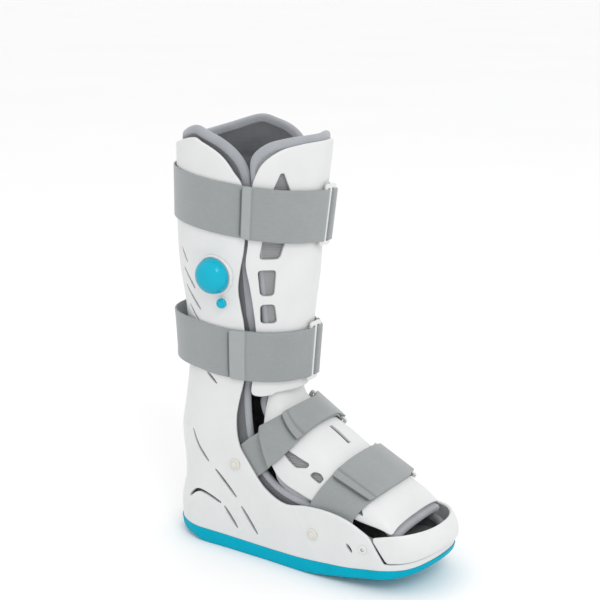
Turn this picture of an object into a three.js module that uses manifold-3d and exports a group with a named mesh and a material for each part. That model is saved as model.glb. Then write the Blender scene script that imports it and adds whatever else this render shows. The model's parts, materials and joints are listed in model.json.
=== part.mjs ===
import * as THREE from 'three';
import { mergeVertices } from 'three/addons/utils/BufferGeometryUtils.js';
import Module from 'manifold-3d';

const wasm = await Module();
wasm.setup();

// A tall walking boot: a moulded base shell on a rubber sole, a shin panel and a foot cover held by four
// straps, padded liners inside and an air pump on the outer side. Millimetres, +Z up, the toes to -Y, the
// outer side of the right foot to -X. The origin is on the ground under the middle of the shaft.

// Driving sizes of the whole boot
const bootHeight = 424;
const soleLength = 304;
const forefootWidth = 114;
const calfWidth = 140;
const calfDepth = 157;

// Walls and clearances
const shellWall = 3;
const panelWall = 3;
const coverWall = 2.6;
const guardWall = 3.5;
const linerWall = 6;
const padWall = 6;
const strapRoom = 4;
const fit = 0.3;
const seam = 1.2;

// Straps and their rings
const calfStrapWidth = 50;
const instepStrapWidth = 38;
const forefootStrapWidth = 42;
const strapThickness = 1.6;
const ringBar = 4;
const ringThickness = 2.4;
const calfRingGap = 11;
const calfRingMiddle = 3.2;
const footRingGap = 7.5;
const ringRoom = 1;
const strapLift = 0.8;
const strapTail = 22;
const tuckLength = 20;
const calfRingRise = 3;
const calfRingSettle = 24;
const instepLift = 1.4;
const upperStandoff = 0.6;
const lowerStandoff = 11;

// Outsole
const treadDepth = 2.5;
const treadGroove = 4;
const treadPitch = 15;
const treadMargin = 7;

// Pump, valve, rivets and screws
const bulbRadius = 17.5;
const bulbHeight = 15;
const bulbSeatRadius = 19.8;
const bulbSeatRise = 1.6;
const pumpAlong = 0;
const pumpBetweenStraps = 0.543;
const valveRadius = 4.8;
const valveHeight = 6;
const valveSeatRadius = 5.9;
const valveSeatRise = 1.4;
const valveAlong = -7;
const valveDrop = 26.5;
const rivetRadius = 5.8;
const rivetRise = 1.8;
const screwRadius = 4.2;
const screwRecess = 1.9;
const screwRise = 1.2;
const slotWidth = 3;

// A short table: its column names, then a row for each station.
function table(columns, rows) {
  const names = columns.split(' ');
  return rows.map((row) => Object.fromEntries(names.map((name, index) => [name, row[index]])));
}

// The value of one column at a place along the table's first column, on a smooth curve through the rows.
function read(rows, column, at) {
  const key = Object.keys(rows[0])[0];
  const last = rows.length - 1;
  if (at <= rows[0][key]) return rows[0][column];
  if (at >= rows[last][key]) return rows[last][column];
  const start = rows.findIndex((row, index) => at >= row[key] && at < rows[index + 1][key]);
  const near = (index) => rows[Math.min(Math.max(index, 0), last)];
  const slope = (index) => {
    const before = near(index - 1);
    const after = near(index + 1);
    return (after[column] - before[column]) / (after[key] - before[key]);
  };
  const span = near(start + 1)[key] - near(start)[key];
  const t = (at - near(start)[key]) / span;
  const rise = t * t * (3 - 2 * t);
  const easeIn = span * slope(start) * t * (1 - t) * (1 - t);
  const easeOut = span * slope(start + 1) * t * t * (1 - t);
  return THREE.MathUtils.lerp(near(start)[column], near(start + 1)[column], rise) + easeIn - easeOut;
}

// The shell's outer face at each height: heights are shares of the boot's height, half widths of half the
// calf's width, front and back reaches of half the calf's depth.
const shaftSections = table('height half front back', [
  [0.033, 0.62, 0.76, 1.01],
  [0.083, 0.64, 0.76, 1.01],
  [0.11, 0.65, 0.76, 0.98],
  [0.137, 0.66, 0.76, 0.94],
  [0.186, 0.68, 0.76, 0.935],
  [0.266, 0.715, 0.76, 0.985],
  [0.34, 0.72, 0.76, 0.92],
  [0.434, 0.755, 0.765, 0.835],
  [0.472, 0.78, 0.775, 0.822],
  [0.583, 0.83, 0.845, 0.86],
  [0.66, 0.885, 0.897, 0.925],
  [0.743, 0.93, 0.924, 0.945],
  [0.85, 0.965, 0.985, 0.935],
  [0.943, 1.0, 1.045, 0.925],
  [1.02, 1.01, 1.07, 0.92],
]);

// The foot's outline seen from above and the faces of the sole: along is a share of the sole's length from
// the shaft's middle, half a share of half the forefoot's width, top and under shares of the boot's height.
const footPlan = table('along half top under', [
  [-0.73, 0.9, 0.0785, 0.066],
  [-0.675, 0.94, 0.0625, 0.048],
  [-0.61, 0.97, 0.0555, 0.035],
  [-0.53, 0.995, 0.049, 0.026],
  [-0.47, 1.0, 0.0435, 0.019],
  [-0.39, 0.98, 0.039, 0.0095],
  [-0.33, 0.955, 0.0355, 0.003],
  [-0.28, 0.925, 0.033, 0],
  [-0.16, 0.86, 0.0315, 0],
  [0, 0.795, 0.033, 0],
  [0.1, 0.77, 0.034, 0],
  [0.16, 0.755, 0.035, 0.0095],
  [0.21, 0.742, 0.0357, 0.0125],
  [0.27, 0.73, 0.036, 0.019],
]);
const toeReach = 0.722;
const heelRound = 0.15;
const toeRound = 0.158;
const toePower = 2.3;
const heelPower = 2;
const rearShare = 0.4;

const atHeight = (share) => share * bootHeight;
const atAlong = (share) => share * soleLength;

const floorTop = (y) => atHeight(read(footPlan, 'top', y / soleLength));
const floorUnder = (y) => atHeight(Math.max(read(footPlan, 'under', y / soleLength), 0));
const floorLevel = atHeight(0.033);

// A round end: 1 until the last stretch of the outline, then falling to 0 on a rounded corner.
function roundEnd(distance, length, power) {
  const t = Math.min(Math.max(1 - distance / length, 0), 1);
  return Math.pow(1 - Math.pow(t, power), 1 / power);
}

// How far the form at a height has turned from the foot's outline into the shaft's.
const shaftShare = (z) => THREE.MathUtils.smoothstep(z, atHeight(0.175), atHeight(0.3));

// The ends and half width of the boot's outer face at a height, moved out by outset.
function reach(z, outset) {
  const share = z / bootHeight;
  const half = (read(shaftSections, 'half', share) * calfWidth) / 2 + outset;
  const shaftFront = (read(shaftSections, 'front', share) * calfDepth) / 2 + outset;
  const back = (read(shaftSections, 'back', share) * calfDepth) / 2 + outset;
  const front = THREE.MathUtils.lerp(atAlong(toeReach) + outset, shaftFront, shaftShare(z));
  return { half, shaftFront, back, front };
}

function halfWidth(y, z, outset) {
  const { half, shaftFront, back, front } = reach(z, outset);
  const toe = roundEnd(y + front, atAlong(toeRound) + outset, toePower);
  const heel = roundEnd(back - y, atAlong(heelRound) + outset, heelPower);
  const lean = 0.03 * (z - floorLevel);
  const foot = ((read(footPlan, 'half', y / soleLength) * forefootWidth) / 2 + lean + outset) * toe * heel;
  const middle = (back - shaftFront) / 2;
  const depth = (back + shaftFront) / 2;
  const shaft = half * Math.sqrt(Math.max(1 - ((y - middle) / depth) ** 2, 0));
  return THREE.MathUtils.lerp(foot, shaft, shaftShare(z));
}

// How far the sole's rise lifts the outer face at a place and a level.
function liftAt(y, z) {
  const rise = Math.max((z - floorLevel - fit) / (bootHeight - floorLevel), 0);
  return (floorTop(y) - floorLevel) * Math.pow(Math.max(1 - rise, 0), 4);
}

// Where a station lies along the boot: the rear stations stand over each other at every height, and the
// others spread out from the shaft's front to the toe where the height is the foot's.
function stationAlong(s, z, outset) {
  const { shaftFront, back, front } = reach(z, outset);
  const shaft = back - ((back + shaftFront) * (1 - Math.cos(Math.PI * s))) / 2;
  const spread = Math.max((s - rearShare) / (1 - rearShare), 0);
  return shaft - ((front - shaftFront) * (1 - Math.cos(Math.PI * spread))) / 2;
}

// A point of the outer face: s runs from the heel's middle (0) to the toe's (1) on one side.
function facePoint(s, side, z, outset, lifted) {
  const y = stationAlong(s, z, outset);
  const x = s === 0 || s === 1 ? 0 : side * halfWidth(y, z, outset);
  const lift = lifted ? liftAt(y, z) : 0;
  return new THREE.Vector3(x, y, z + lift);
}

function geometryOf(points, triangles) {
  const geometry = new THREE.BufferGeometry();
  geometry.setAttribute('position', new THREE.Float32BufferAttribute(points.flatMap((p) => p.toArray()), 3));
  geometry.setIndex(triangles.flat());
  return geometry;
}

// Turns every face outward.
function facingOut(points, triangles) {
  const six = triangles.reduce(
    (sum, [a, b, c]) => sum + points[a].dot(points[b].clone().cross(points[c])),
    0,
  );
  return geometryOf(points, six > 0 ? triangles : triangles.map(([a, b, c]) => [a, c, b]));
}

// A closed body from rings of points at rising levels. Each ring has one point at the heel and one at the
// toe, and the caps are strips from one side to the other.
function stackOfRings(levels, sides, pointAt) {
  const ring = 2 * sides;
  const points = levels.flatMap((level) =>
    Array.from({ length: ring }, (_, index) => {
      const side = index <= sides ? 1 : -1;
      const step = index <= sides ? index : ring - index;
      return pointAt(step / sides, side, level);
    }),
  );
  const triangles = [];
  for (let row = 0; row < levels.length - 1; row += 1) {
    for (let column = 0; column < ring; column += 1) {
      const a = row * ring + column;
      const b = row * ring + ((column + 1) % ring);
      triangles.push([a, b, b + ring], [a, b + ring, a + ring]);
    }
  }
  for (const [row, turned] of [[0, true], [levels.length - 1, false]]) {
    const at = (index) => row * ring + (index % ring);
    for (let step = 0; step < sides; step += 1) {
      const left = [at(ring - step), at(ring - step - 1)];
      const right = [at(step), at(step + 1)];
      const strip = [];
      if (step > 0) strip.push([left[0], right[0], right[1]]);
      if (step < sides - 1) strip.push([left[0], right[1], left[1]]);
      if (step === 0) strip[0] = [right[0], right[1], left[1]];
      triangles.push(...strip.map(([a, b, c]) => (turned ? [a, c, b] : [a, b, c])));
    }
  }
  return facingOut(points, triangles);
}

const faceSides = 14;
const levelRoom = 4;
const overrun = 5;
const faceLevels = [
  0.083, 0.11, 0.145, 0.18, 0.22, 0.26, 0.31, 0.37, 0.434, 0.5, 0.583, 0.67, 0.76, 0.86, 0.95,
];

const softSides = 12;
const softLevels = faceLevels.filter((_, index) => index % 2 === 0);

// The solid inside the boot's outer face moved out by outset, between two heights.
function faceBody(low, high, outset, { lifted = true, sides = faceSides, levels = faceLevels } = {}) {
  const between = levels.map(atHeight).filter((z) => z > low + levelRoom && z < high - levelRoom);
  return solid(
    stackOfRings([low, ...between, high], sides, (s, side, z) => facePoint(s, side, z, outset, lifted)),
  );
}

// A sheet over a surface: place gives its middle at u and v, which run from 0 to 1, and the sheet lies
// between the two distances from it along the surface's normal.
function sheet(place, columns, rows, inner, outer) {
  const small = 1e-3;
  const grid = (distance) => {
    const points = [];
    for (let i = 0; i <= columns; i += 1) {
      for (let j = 0; j <= rows; j += 1) {
        const u = i / columns;
        const v = j / rows;
        const alongU = place(Math.min(u + small, 1), v).sub(place(Math.max(u - small, 0), v));
        const alongV = place(u, Math.min(v + small, 1)).sub(place(u, Math.max(v - small, 0)));
        const normal = alongV.cross(alongU).normalize();
        points.push(place(u, v).addScaledVector(normal, distance));
      }
    }
    return points;
  };
  const count = (columns + 1) * (rows + 1);
  const at = (i, j, layer) => layer * count + i * (rows + 1) + j;
  const triangles = [];
  const quad = (a, b, c, d) => triangles.push([a, b, c], [a, c, d]);
  for (let i = 0; i < columns; i += 1) {
    for (let j = 0; j < rows; j += 1) {
      quad(at(i, j, 1), at(i + 1, j, 1), at(i + 1, j + 1, 1), at(i, j + 1, 1));
      quad(at(i, j, 0), at(i, j + 1, 0), at(i + 1, j + 1, 0), at(i + 1, j, 0));
    }
    quad(at(i, 0, 0), at(i + 1, 0, 0), at(i + 1, 0, 1), at(i, 0, 1));
    quad(at(i, rows, 0), at(i, rows, 1), at(i + 1, rows, 1), at(i + 1, rows, 0));
  }
  for (let j = 0; j < rows; j += 1) {
    quad(at(0, j, 0), at(0, j, 1), at(0, j + 1, 1), at(0, j + 1, 0));
    quad(at(columns, j, 0), at(columns, j + 1, 0), at(columns, j + 1, 1), at(columns, j, 1));
  }
  return facingOut([...grid(inner), ...grid(outer)], triangles);
}

// A geometry with its equal points merged and without the flat triangles at a pole.
function merged(geometry) {
  const bare = geometry.clone();
  bare.deleteAttribute('normal');
  bare.deleteAttribute('uv');
  const joined = mergeVertices(bare);
  const index = [];
  for (let at = 0; at < joined.index.count; at += 3) {
    const corners = [0, 1, 2].map((step) => joined.index.getX(at + step));
    if (new Set(corners).size === 3) index.push(...corners);
  }
  joined.setIndex(index);
  return joined;
}

// A closed geometry as a solid that can be joined and cut.
function solid(geometry) {
  const closed = merged(geometry);
  return new wasm.Manifold(
    new wasm.Mesh({
      numProp: 3,
      vertProperties: new Float32Array(closed.attributes.position.array),
      triVerts: new Uint32Array(closed.index.array),
    }),
  );
}

function geometryOfSolid(body) {
  const result = body.getMesh();
  const geometry = new THREE.BufferGeometry();
  geometry.setAttribute('position', new THREE.BufferAttribute(result.vertProperties, 3));
  geometry.setIndex(new THREE.BufferAttribute(result.triVerts, 1));
  return geometry;
}

// An outline extruded along a direction: right and up span the outline's plane, from a start point.
function prism(outline, depth, right, up, start) {
  const shape = new THREE.Shape(outline.map(([a, b]) => new THREE.Vector2(a, b)));
  const geometry = new THREE.ExtrudeGeometry(shape, { depth, bevelEnabled: false });
  const out = right.clone().cross(up);
  geometry.applyMatrix4(new THREE.Matrix4().makeBasis(right, up, out).setPosition(start));
  return solid(geometry);
}

const acrossX = new THREE.Vector3(1, 0, 0);
const alongY = new THREE.Vector3(0, 1, 0);
const upZ = new THREE.Vector3(0, 0, 1);
const sideReach = calfWidth;

// A side view outline of y and z, extruded across the boot from one x to another.
const sidePrism = (outline, from = -sideReach, to = sideReach) =>
  prism(outline, to - from, alongY, upZ, new THREE.Vector3(from, 0, 0));

// A smooth line through side view points given as shares of the sole's length and the boot's height.
function sideCurve(rows, steps) {
  const points = rows.map(({ along, height }) => new THREE.Vector2(atAlong(along), atHeight(height)));
  return new THREE.SplineCurve(points).getPoints(steps).map((p) => [p.x, p.y]);
}

// A narrow slot along a line of side view points, with square ends.
function slotOutline(points, width) {
  const curve = new THREE.SplineCurve(points.map(([a, b]) => new THREE.Vector2(a, b)));
  const steps = points.length > 2 ? 4 : 1;
  const sideOf = (sign) =>
    curve.getPoints(steps).map((p, index) => {
      const tangent = curve.getTangent(index / steps);
      return [p.x - (sign * tangent.y * width) / 2, p.y + (sign * tangent.x * width) / 2];
    });
  return [...sideOf(1), ...sideOf(-1).reverse()];
}

// The direction out of the shaft at an angle from the front, positive towards the inner side.
function outwards(angle) {
  return new THREE.Vector3(Math.sin(angle), -Math.cos(angle), 0);
}

// An outline cut into the shaft's wall at an angle from the front and a height.
function portCut(outline, angle, z, from = 0.3 * calfWidth, depth = 0.45 * calfWidth) {
  const right = new THREE.Vector3(Math.cos(angle), Math.sin(angle), 0);
  const start = outwards(angle).multiplyScalar(from).setZ(z);
  return prism(outline, depth, right, upZ, start);
}

// A point of the outer face at a height, and the direction out of it, on one side of the boot.
function sidePoint(y, z, side) {
  const level = z - liftAt(y, z - liftAt(y, z));
  return new THREE.Vector3(side * halfWidth(y, level, 0), y, z);
}

function sideNormal(y, z, side) {
  const along = sidePoint(y + 2, z, side).sub(sidePoint(y - 2, z, side));
  const over = sidePoint(y, z + 2, side).sub(sidePoint(y, z - 2, side));
  return along.cross(over).multiplyScalar(side).normalize();
}

const materials = {
  shell: new THREE.MeshStandardMaterial({ color: 0xe9ebec, roughness: 0.42, metalness: 0 }),
  rubber: new THREE.MeshStandardMaterial({ color: 0x06a6c4, roughness: 0.6, metalness: 0 }),
  bulb: new THREE.MeshStandardMaterial({ color: 0x12b1cf, roughness: 0.25, metalness: 0 }),
  webbing: new THREE.MeshStandardMaterial({ color: 0x9a9fa2, roughness: 0.95, metalness: 0 }),
  liner: new THREE.MeshStandardMaterial({ color: 0x8d9196, roughness: 1, metalness: 0 }),
  ring: new THREE.MeshStandardMaterial({ color: 0xf0f1f1, roughness: 0.35, metalness: 0 }),
  rivet: new THREE.MeshStandardMaterial({ color: 0xe8e6dc, roughness: 0.4, metalness: 0 }),
  screw: new THREE.MeshStandardMaterial({ color: 0xc9cacb, roughness: 0.3, metalness: 1 }),
};

const boot = new THREE.Group();

function addPiece(name, shape, material) {
  const geometry = shape.isBufferGeometry ? merged(shape) : geometryOfSolid(shape);
  geometry.computeVertexNormals();
  const mesh = new THREE.Mesh(geometry, material);
  mesh.name = name;
  boot.add(mesh);
}

// Outsole: follows the foot's outline, with grooves across its rising toe and heel that stop short of its
// sides.
const soleLip = 1;
const flatFront = atAlong(-0.28);
const flatBack = atAlong(0.1);

function outsole() {
  const body = stackOfRings([0, 1], 26, (s, side, level) => {
    const point = facePoint(s, side, floorLevel, soleLip * level, false);
    return point.setZ(level === 0 ? floorUnder(point.y) : floorTop(point.y));
  });
  let result = solid(body);
  const groove = (y) => {
    const under = floorUnder(y);
    const outline = [
      [y - treadGroove / 2, under - treadDepth],
      [y + treadGroove / 2, under - treadDepth],
      [y + treadGroove / 2, under + treadDepth],
      [y - treadGroove / 2, under + treadDepth],
    ];
    const run = halfWidth(y - treadGroove / 2, floorLevel, 0) - treadMargin;
    return sidePrism(outline, -run, run);
  };
  const frontRun = flatFront + atAlong(toeReach);
  const grooves = Math.floor((frontRun - treadPitch) / treadPitch);
  for (let index = 0; index < grooves; index += 1) {
    result = result.subtract(groove(flatFront - treadPitch / 2 - index * treadPitch));
  }
  result = result.subtract(groove(flatBack + treadPitch / 2));
  return result;
}
addPiece('outsole', outsole(), materials.rubber);

// Base shell: the sides, heel, calf back and foot pan in one moulding. Its open edge in the side view runs
// from the top of the calf down the front, round the ankle and along the foot to the toe guard.
const shellEdge = table('along height', [
  [0.3, 0.935],
  [0.24, 0.941],
  [0.18, 0.957],
  [0.07, 0.977],
  [0.03, 0.97],
  [-0.02, 0.955],
  [-0.056, 0.936],
  [-0.086, 0.906],
  [-0.107, 0.88],
  [-0.112, 0.83],
  [-0.109, 0.771],
  [-0.099, 0.724],
  [-0.086, 0.684],
  [-0.076, 0.642],
  [-0.079, 0.601],
  [-0.086, 0.552],
  [-0.085, 0.48],
  [-0.076, 0.429],
  [-0.053, 0.368],
  [-0.043, 0.328],
  [-0.047, 0.281],
  [-0.069, 0.243],
  [-0.15, 0.18],
  [-0.23, 0.154],
  [-0.315, 0.163],
  [-0.395, 0.165],
  [-0.474, 0.155],
  [-0.548, 0.128],
]);
const guardBack = -0.548;
const guardFoot = -0.6;
const lipRise = 6;
const beyond = 1.2 * soleLength;

// The shell's lip under the toe guard, from the guard's rear edge to the toe.
function lipLine(rise) {
  const steps = [guardFoot, -0.63, -0.66, -0.69, -0.72, -0.78];
  return steps.map((share) => [atAlong(share), floorTop(atAlong(share)) + rise]);
}

function baseShell() {
  const high = 1.06 * bootHeight;
  const outer = faceBody(floorLevel + fit, high, 0);
  const inner = faceBody(floorLevel + fit + shellWall, high + overrun, -shellWall);
  const opening = sidePrism([
    ...sideCurve(shellEdge, 34),
    ...lipLine(lipRise),
    [-beyond, lipLine(lipRise).at(-1)[1]],
    [-beyond, 2 * bootHeight],
    [beyond, 2 * bootHeight],
    [beyond, atHeight(shellEdge[0].height)],
  ]);
  return cutVents(outer.subtract(inner).subtract(opening));
}

// Vent slots on both sides of the shell, from their side view ends as shares of length and height.
const vents = [
  [[0.15, 0.718], [0.123, 0.69]],
  [[0.144, 0.672], [0.094, 0.632]],
  [[0.141, 0.63], [0.076, 0.583]],
  [[0.131, 0.584], [0.085, 0.551]],
  [[0.058, 0.432], [0.025, 0.411]],
  [[0.137, 0.279], [0.11, 0.242], [0.074, 0.211]],
  [[0.043, 0.192], [-0.036, 0.138]],
  [[-0.06, 0.115], [-0.12, 0.06]],
  [[0.165, 0.106], [0.135, 0.125], [0.1, 0.129], [0.029, 0.112]],
  [[0.011, 0.104], [-0.038, 0.061]],
  [[-0.474, 0.099], [-0.489, 0.085]],
];

// A pair of upright slots low on the back of the heel.
const heelSlotAngle = THREE.MathUtils.degToRad(157);
const heelSlotHeight = 0.216;
const heelSlotLength = 13;
const heelSlotWidth = 4.5;
const ventDepth = 9;

// A side view outline cut square through the shell's wall on one side.
function ventCut(outline, side) {
  const middle = outline.reduce((sum, point) => sum.add(new THREE.Vector2(...point)), new THREE.Vector2());
  middle.divideScalar(outline.length);
  const out = sideNormal(middle.x, middle.y, side);
  const right = upZ.clone().cross(out).normalize();
  const up = out.clone().cross(right);
  const flat = outline.map(([y, z]) => [(y - middle.x) / right.y, (z - middle.y) / up.z]);
  const start = sidePoint(middle.x, middle.y, side).addScaledVector(out, -ventDepth);
  return prism(flat, 2 * ventDepth, right, up, start);
}

function cutVents(shell) {
  let result = shell;
  const slot = slotOutline([[0, -heelSlotLength / 2], [0, heelSlotLength / 2]], heelSlotWidth);
  for (const side of [-1, 1]) {
    for (const vent of vents) {
      const points = vent.map(([along, height]) => [atAlong(along), atHeight(height)]);
      result = result.subtract(ventCut(slotOutline(points, slotWidth), side));
    }
    result = result.subtract(portCut(slot, side * heelSlotAngle, atHeight(heelSlotHeight)));
  }
  return result;
}
addPiece('base_shell', baseShell(), materials.shell);

// Shin panel: the front of the shaft, with a column of windows near each edge.
const panelEdge = table('along height', [
  [-0.42, 0.97],
  [-0.28, 0.969],
  [-0.245, 0.965],
  [-0.2155, 0.9575],
  [-0.184, 0.941],
  [-0.161, 0.922],
  [-0.145, 0.8985],
  [-0.135, 0.877],
  [-0.124, 0.83],
  [-0.114, 0.75],
  [-0.104, 0.7],
  [-0.112, 0.6415],
  [-0.118, 0.5425],
  [-0.11, 0.47],
  [-0.094, 0.403],
  [-0.099, 0.391],
  [-0.12, 0.387],
  [-0.15, 0.39],
  [-0.185, 0.397],
  [-0.42, 0.397],
]);

// Windows: angle is from the front in degrees, height and low shares of the boot's height, and the corners'
// places shares of the calf's width.
const windowCorner = 2.5;
const windows = table('angle height low highLeft highRight lowLeft lowRight', [
  [33.5, 0.822, 0.084, -0.012, 0.012, -0.115, 0.115],
  [39.5, 0.713, 0.047, -0.062, 0.1, -0.085, 0.055],
  [43, 0.628, 0.06, -0.066, 0.062, -0.045, 0.05],
  [41, 0.563, 0.045, -0.058, 0.04, -0.055, 0.062],
]);

function windowOutline({ low, highLeft, highRight, lowLeft, lowRight }) {
  const height = atHeight(low);
  const corners = [
    [calfWidth * lowLeft, 0],
    [calfWidth * lowRight, 0],
    [calfWidth * highRight, height],
    [calfWidth * highLeft, height],
  ];
  return roundedOutline(corners, windowCorner);
}

// An outline with each corner cut off.
function roundedOutline(corners, radius) {
  return corners.flatMap((corner, index) => {
    const here = new THREE.Vector2(...corner);
    const before = new THREE.Vector2(...corners.at(index - 1));
    const after = new THREE.Vector2(...corners[(index + 1) % corners.length]);
    const back = before.sub(here);
    const ahead = after.sub(here);
    const room = Math.min(radius, 0.4 * back.length(), 0.4 * ahead.length());
    const start = here.clone().addScaledVector(back.normalize(), room);
    const end = here.clone().addScaledVector(ahead.normalize(), room);
    return [start.toArray(), end.toArray()];
  });
}

function shinPanel() {
  const low = atHeight(0.37);
  const high = atHeight(1.0);
  const outer = faceBody(low, high, 0, { lifted: false });
  const inner = faceBody(low - overrun, high + overrun, -panelWall, { lifted: false });
  let panel = outer.subtract(inner).intersect(sidePrism(sideCurve(panelEdge, 28)));
  for (const window of windows) {
    for (const side of [-1, 1]) {
      const outline = windowOutline(window).map(([a, b]) => [-side * a, b]);
      const angle = side * THREE.MathUtils.degToRad(window.angle);
      panel = panel.subtract(portCut(outline, angle, atHeight(window.height)));
    }
  }
  return panel;
}
addPiece('shin_panel', shinPanel(), materials.shell);

// Foot cover: an arched plate over the foot that turns up in front of the ankle. along and height place its
// crest, half is a share of half the forefoot's width, drop of the boot's height, lean is in degrees.
const coverSections = table('t along height half drop lean', [
  [0, -0.615, 0.15, 0.825, 0.018, 0],
  [0.09, -0.575, 0.182, 0.838, 0.042, 0],
  [0.2, -0.525, 0.208, 0.842, 0.064, 2],
  [0.32, -0.46, 0.238, 0.84, 0.088, 5],
  [0.44, -0.395, 0.268, 0.838, 0.112, 8],
  [0.56, -0.33, 0.3, 0.84, 0.13, 13],
  [0.68, -0.265, 0.326, 0.81, 0.133, 22],
  [0.78, -0.212, 0.345, 0.74, 0.09, 36],
  [0.88, -0.174, 0.368, 0.52, 0.05, 60],
  [1, -0.158, 0.415, 0.42, 0.02, 84],
]);
const archPower = 2.6;

// A point of the cover's middle face: t from the front edge to the ankle, q from -1 to 1 across.
function coverPoint(t, q) {
  const half = (read(coverSections, 'half', t) * forefootWidth) / 2;
  const drop = atHeight(read(coverSections, 'drop', t));
  const lean = THREE.MathUtils.degToRad(read(coverSections, 'lean', t));
  const angle = (q * Math.PI) / 2;
  const across = Math.sign(angle) * half * Math.pow(Math.abs(Math.sin(angle)), 2 / archPower);
  const down = drop * (1 - Math.pow(Math.max(Math.cos(angle), 0), 2 / archPower));
  const y = atAlong(read(coverSections, 'along', t)) + down * Math.sin(lean);
  const z = atHeight(read(coverSections, 'height', t)) - down * Math.cos(lean);
  return new THREE.Vector3(across, y, z);
}

const coverSlots = table('along height length width tilt', [
  [-0.264, 0.256, 30, 9, -22],
  [-0.345, 0.22, 14, 9, -30],
  [-0.46, 0.17, 8, 6, -40],
]);

function footCover() {
  const place = (u, v) => coverPoint(u, 1.96 * v - 0.98);
  let cover = solid(sheet(place, 14, 12, -coverWall / 2, coverWall / 2));
  for (const { along, height, length, width, tilt } of coverSlots) {
    const angle = THREE.MathUtils.degToRad(tilt);
    const corners = [[-0.5, -0.25], [-0.2, -0.5], [0.4, -0.5], [0.5, 0], [0.3, 0.4], [-0.3, 0.35]];
    const outline = corners.map(([a, b]) => {
      const along2 = -a * length;
      const across2 = b * width;
      return [
        atAlong(along) + along2 * Math.cos(angle) - across2 * Math.sin(angle),
        atHeight(height) - along2 * Math.sin(angle) - across2 * Math.cos(angle),
      ];
    });
    cover = cover.subtract(sidePrism(outline));
  }
  return cover.subtract(crestCut());
}

// A narrow slot along the cover's crest, by its ends along the boot and its half width.
const crestSlot = [-0.37, -0.298];
const crestSlotHalf = 2.4;

function crestCut() {
  const [front, rear] = crestSlot.map(atAlong);
  const corners = [
    [-crestSlotHalf, front],
    [crestSlotHalf, front],
    [crestSlotHalf, rear],
    [-crestSlotHalf, rear],
  ];
  const start = new THREE.Vector3(0, 0, atHeight(0.25));
  return prism(roundedOutline(corners, crestSlotHalf), atHeight(0.15), acrossX, alongY, start);
}
addPiece('foot_cover', footCover(), materials.shell);

// Padding under the foot cover, a little wider than the cover, ending below the shin pad.
function footPad() {
  const depth = coverWall / 2 + seam + fit;
  const place = (u, v) => {
    const t = 0.005 + 0.975 * u;
    return coverPoint(t, 1.84 * v - 0.92);
  };
  return sheet(place, 14, 8, -depth - padWall, -depth);
}
addPiece('foot_pad', footPad(), materials.liner);

// Boot liner: a padded wall inside the shell, from the sole to above the calf, open like the shell.
const linerEdge = table('along height', [
  [0.3, 0.955],
  [0.24, 0.961],
  [0.17, 0.98],
  [0.082, 1.0],
  [0.023, 0.9905],
  [-0.033, 0.976],
  [-0.079, 0.953],
  [-0.1085, 0.922],
  [-0.119, 0.88],
  [-0.122, 0.78],
  [-0.122, 0.68],
  [-0.122, 0.56],
  [-0.105, 0.46],
  [-0.079, 0.4],
  [-0.079, 0.31],
  [-0.1, 0.245],
  [-0.15, 0.205],
  [-0.22, 0.18],
  [-0.3, 0.166],
  [-0.39, 0.143],
  [-0.49, 0.125],
  [-0.6, 0.108],
  [-0.8, 0.1],
]);
const linerInset = shellWall + strapRoom;

function bootLiner() {
  const high = 1.06 * bootHeight;
  const low = floorLevel + shellWall + fit + seam;
  const coarse = { sides: softSides, levels: softLevels };
  const outer = faceBody(low, high, -linerInset, coarse);
  const inner = faceBody(low + linerWall, high + overrun, -linerInset - linerWall, coarse);
  const opening = sidePrism([
    ...sideCurve(linerEdge, 30),
    [-beyond, atHeight(0.1)],
    [-beyond, 2 * bootHeight],
    [beyond, 2 * bootHeight],
    [beyond, atHeight(linerEdge[0].height)],
  ]);
  return outer.subtract(inner).subtract(opening);
}
addPiece('boot_liner', bootLiner(), materials.liner);

// Shin pad: the padding inside the shin panel, meeting the boot liner at the sides.
const shinPadEdge = table('along height', [
  [-0.42, 0.984],
  [-0.26, 0.982],
  [-0.205, 0.976],
  [-0.171, 0.967],
  [-0.14, 0.948],
  [-0.128, 0.928],
  [-0.127, 0.88],
  [-0.13, 0.78],
  [-0.13, 0.68],
  [-0.13, 0.56],
  [-0.114, 0.475],
  [-0.12, 0.45],
  [-0.2, 0.446],
  [-0.42, 0.446],
]);

function shinPad() {
  const low = atHeight(0.42);
  const high = atHeight(1.03);
  const coarse = { lifted: false, sides: softSides };
  const outer = faceBody(low, high, -panelWall - 3 * fit, coarse);
  const inner = faceBody(low - overrun, high + overrun, -panelWall - 3 * fit - padWall, coarse);
  return outer.subtract(inner).intersect(sidePrism(sideCurve(shinPadEdge, 20)));
}
addPiece('shin_pad', shinPad(), materials.liner);

// Toe guard: a bumper round the toes that stands on the shell's lip.
const guardTop = table('along height', [
  [-0.73, 0.143],
  [-0.69, 0.141],
  [-0.65, 0.138],
  [-0.6, 0.133],
  [-0.548, 0.124],
]);
const guardBulge = 5;
const guardLean = 1.1;
const guardLevel = atHeight(0.06);

function toeGuard() {
  const place = (u, v) => {
    const around = (u - 0.5) * 2;
    const side = Math.sign(around) || 1;
    const rear = THREE.MathUtils.lerp(guardBack, guardFoot, 1 - v) - (3 * seam) / soleLength;
    const s = 1 - Math.abs(around) * (1 - stationAt(atAlong(rear)));
    const lean = Math.sin(Math.PI * (0.25 + 0.6 * v)) - guardLean * v * v;
    const bulge = guardBulge * (1 - around * around) * lean;
    const point = facePoint(s, side, guardLevel, bulge - guardWall / 2, false);
    if (s > 0.9999) point.x = 0;
    const bottom = floorTop(point.y) + lipRise + seam;
    const top = atHeight(read(guardTop, 'height', point.y / soleLength));
    return point.setZ(THREE.MathUtils.lerp(bottom, top, v));
  };
  return sheet(place, 22, 3, -guardWall / 2, guardWall / 2);
}

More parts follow.
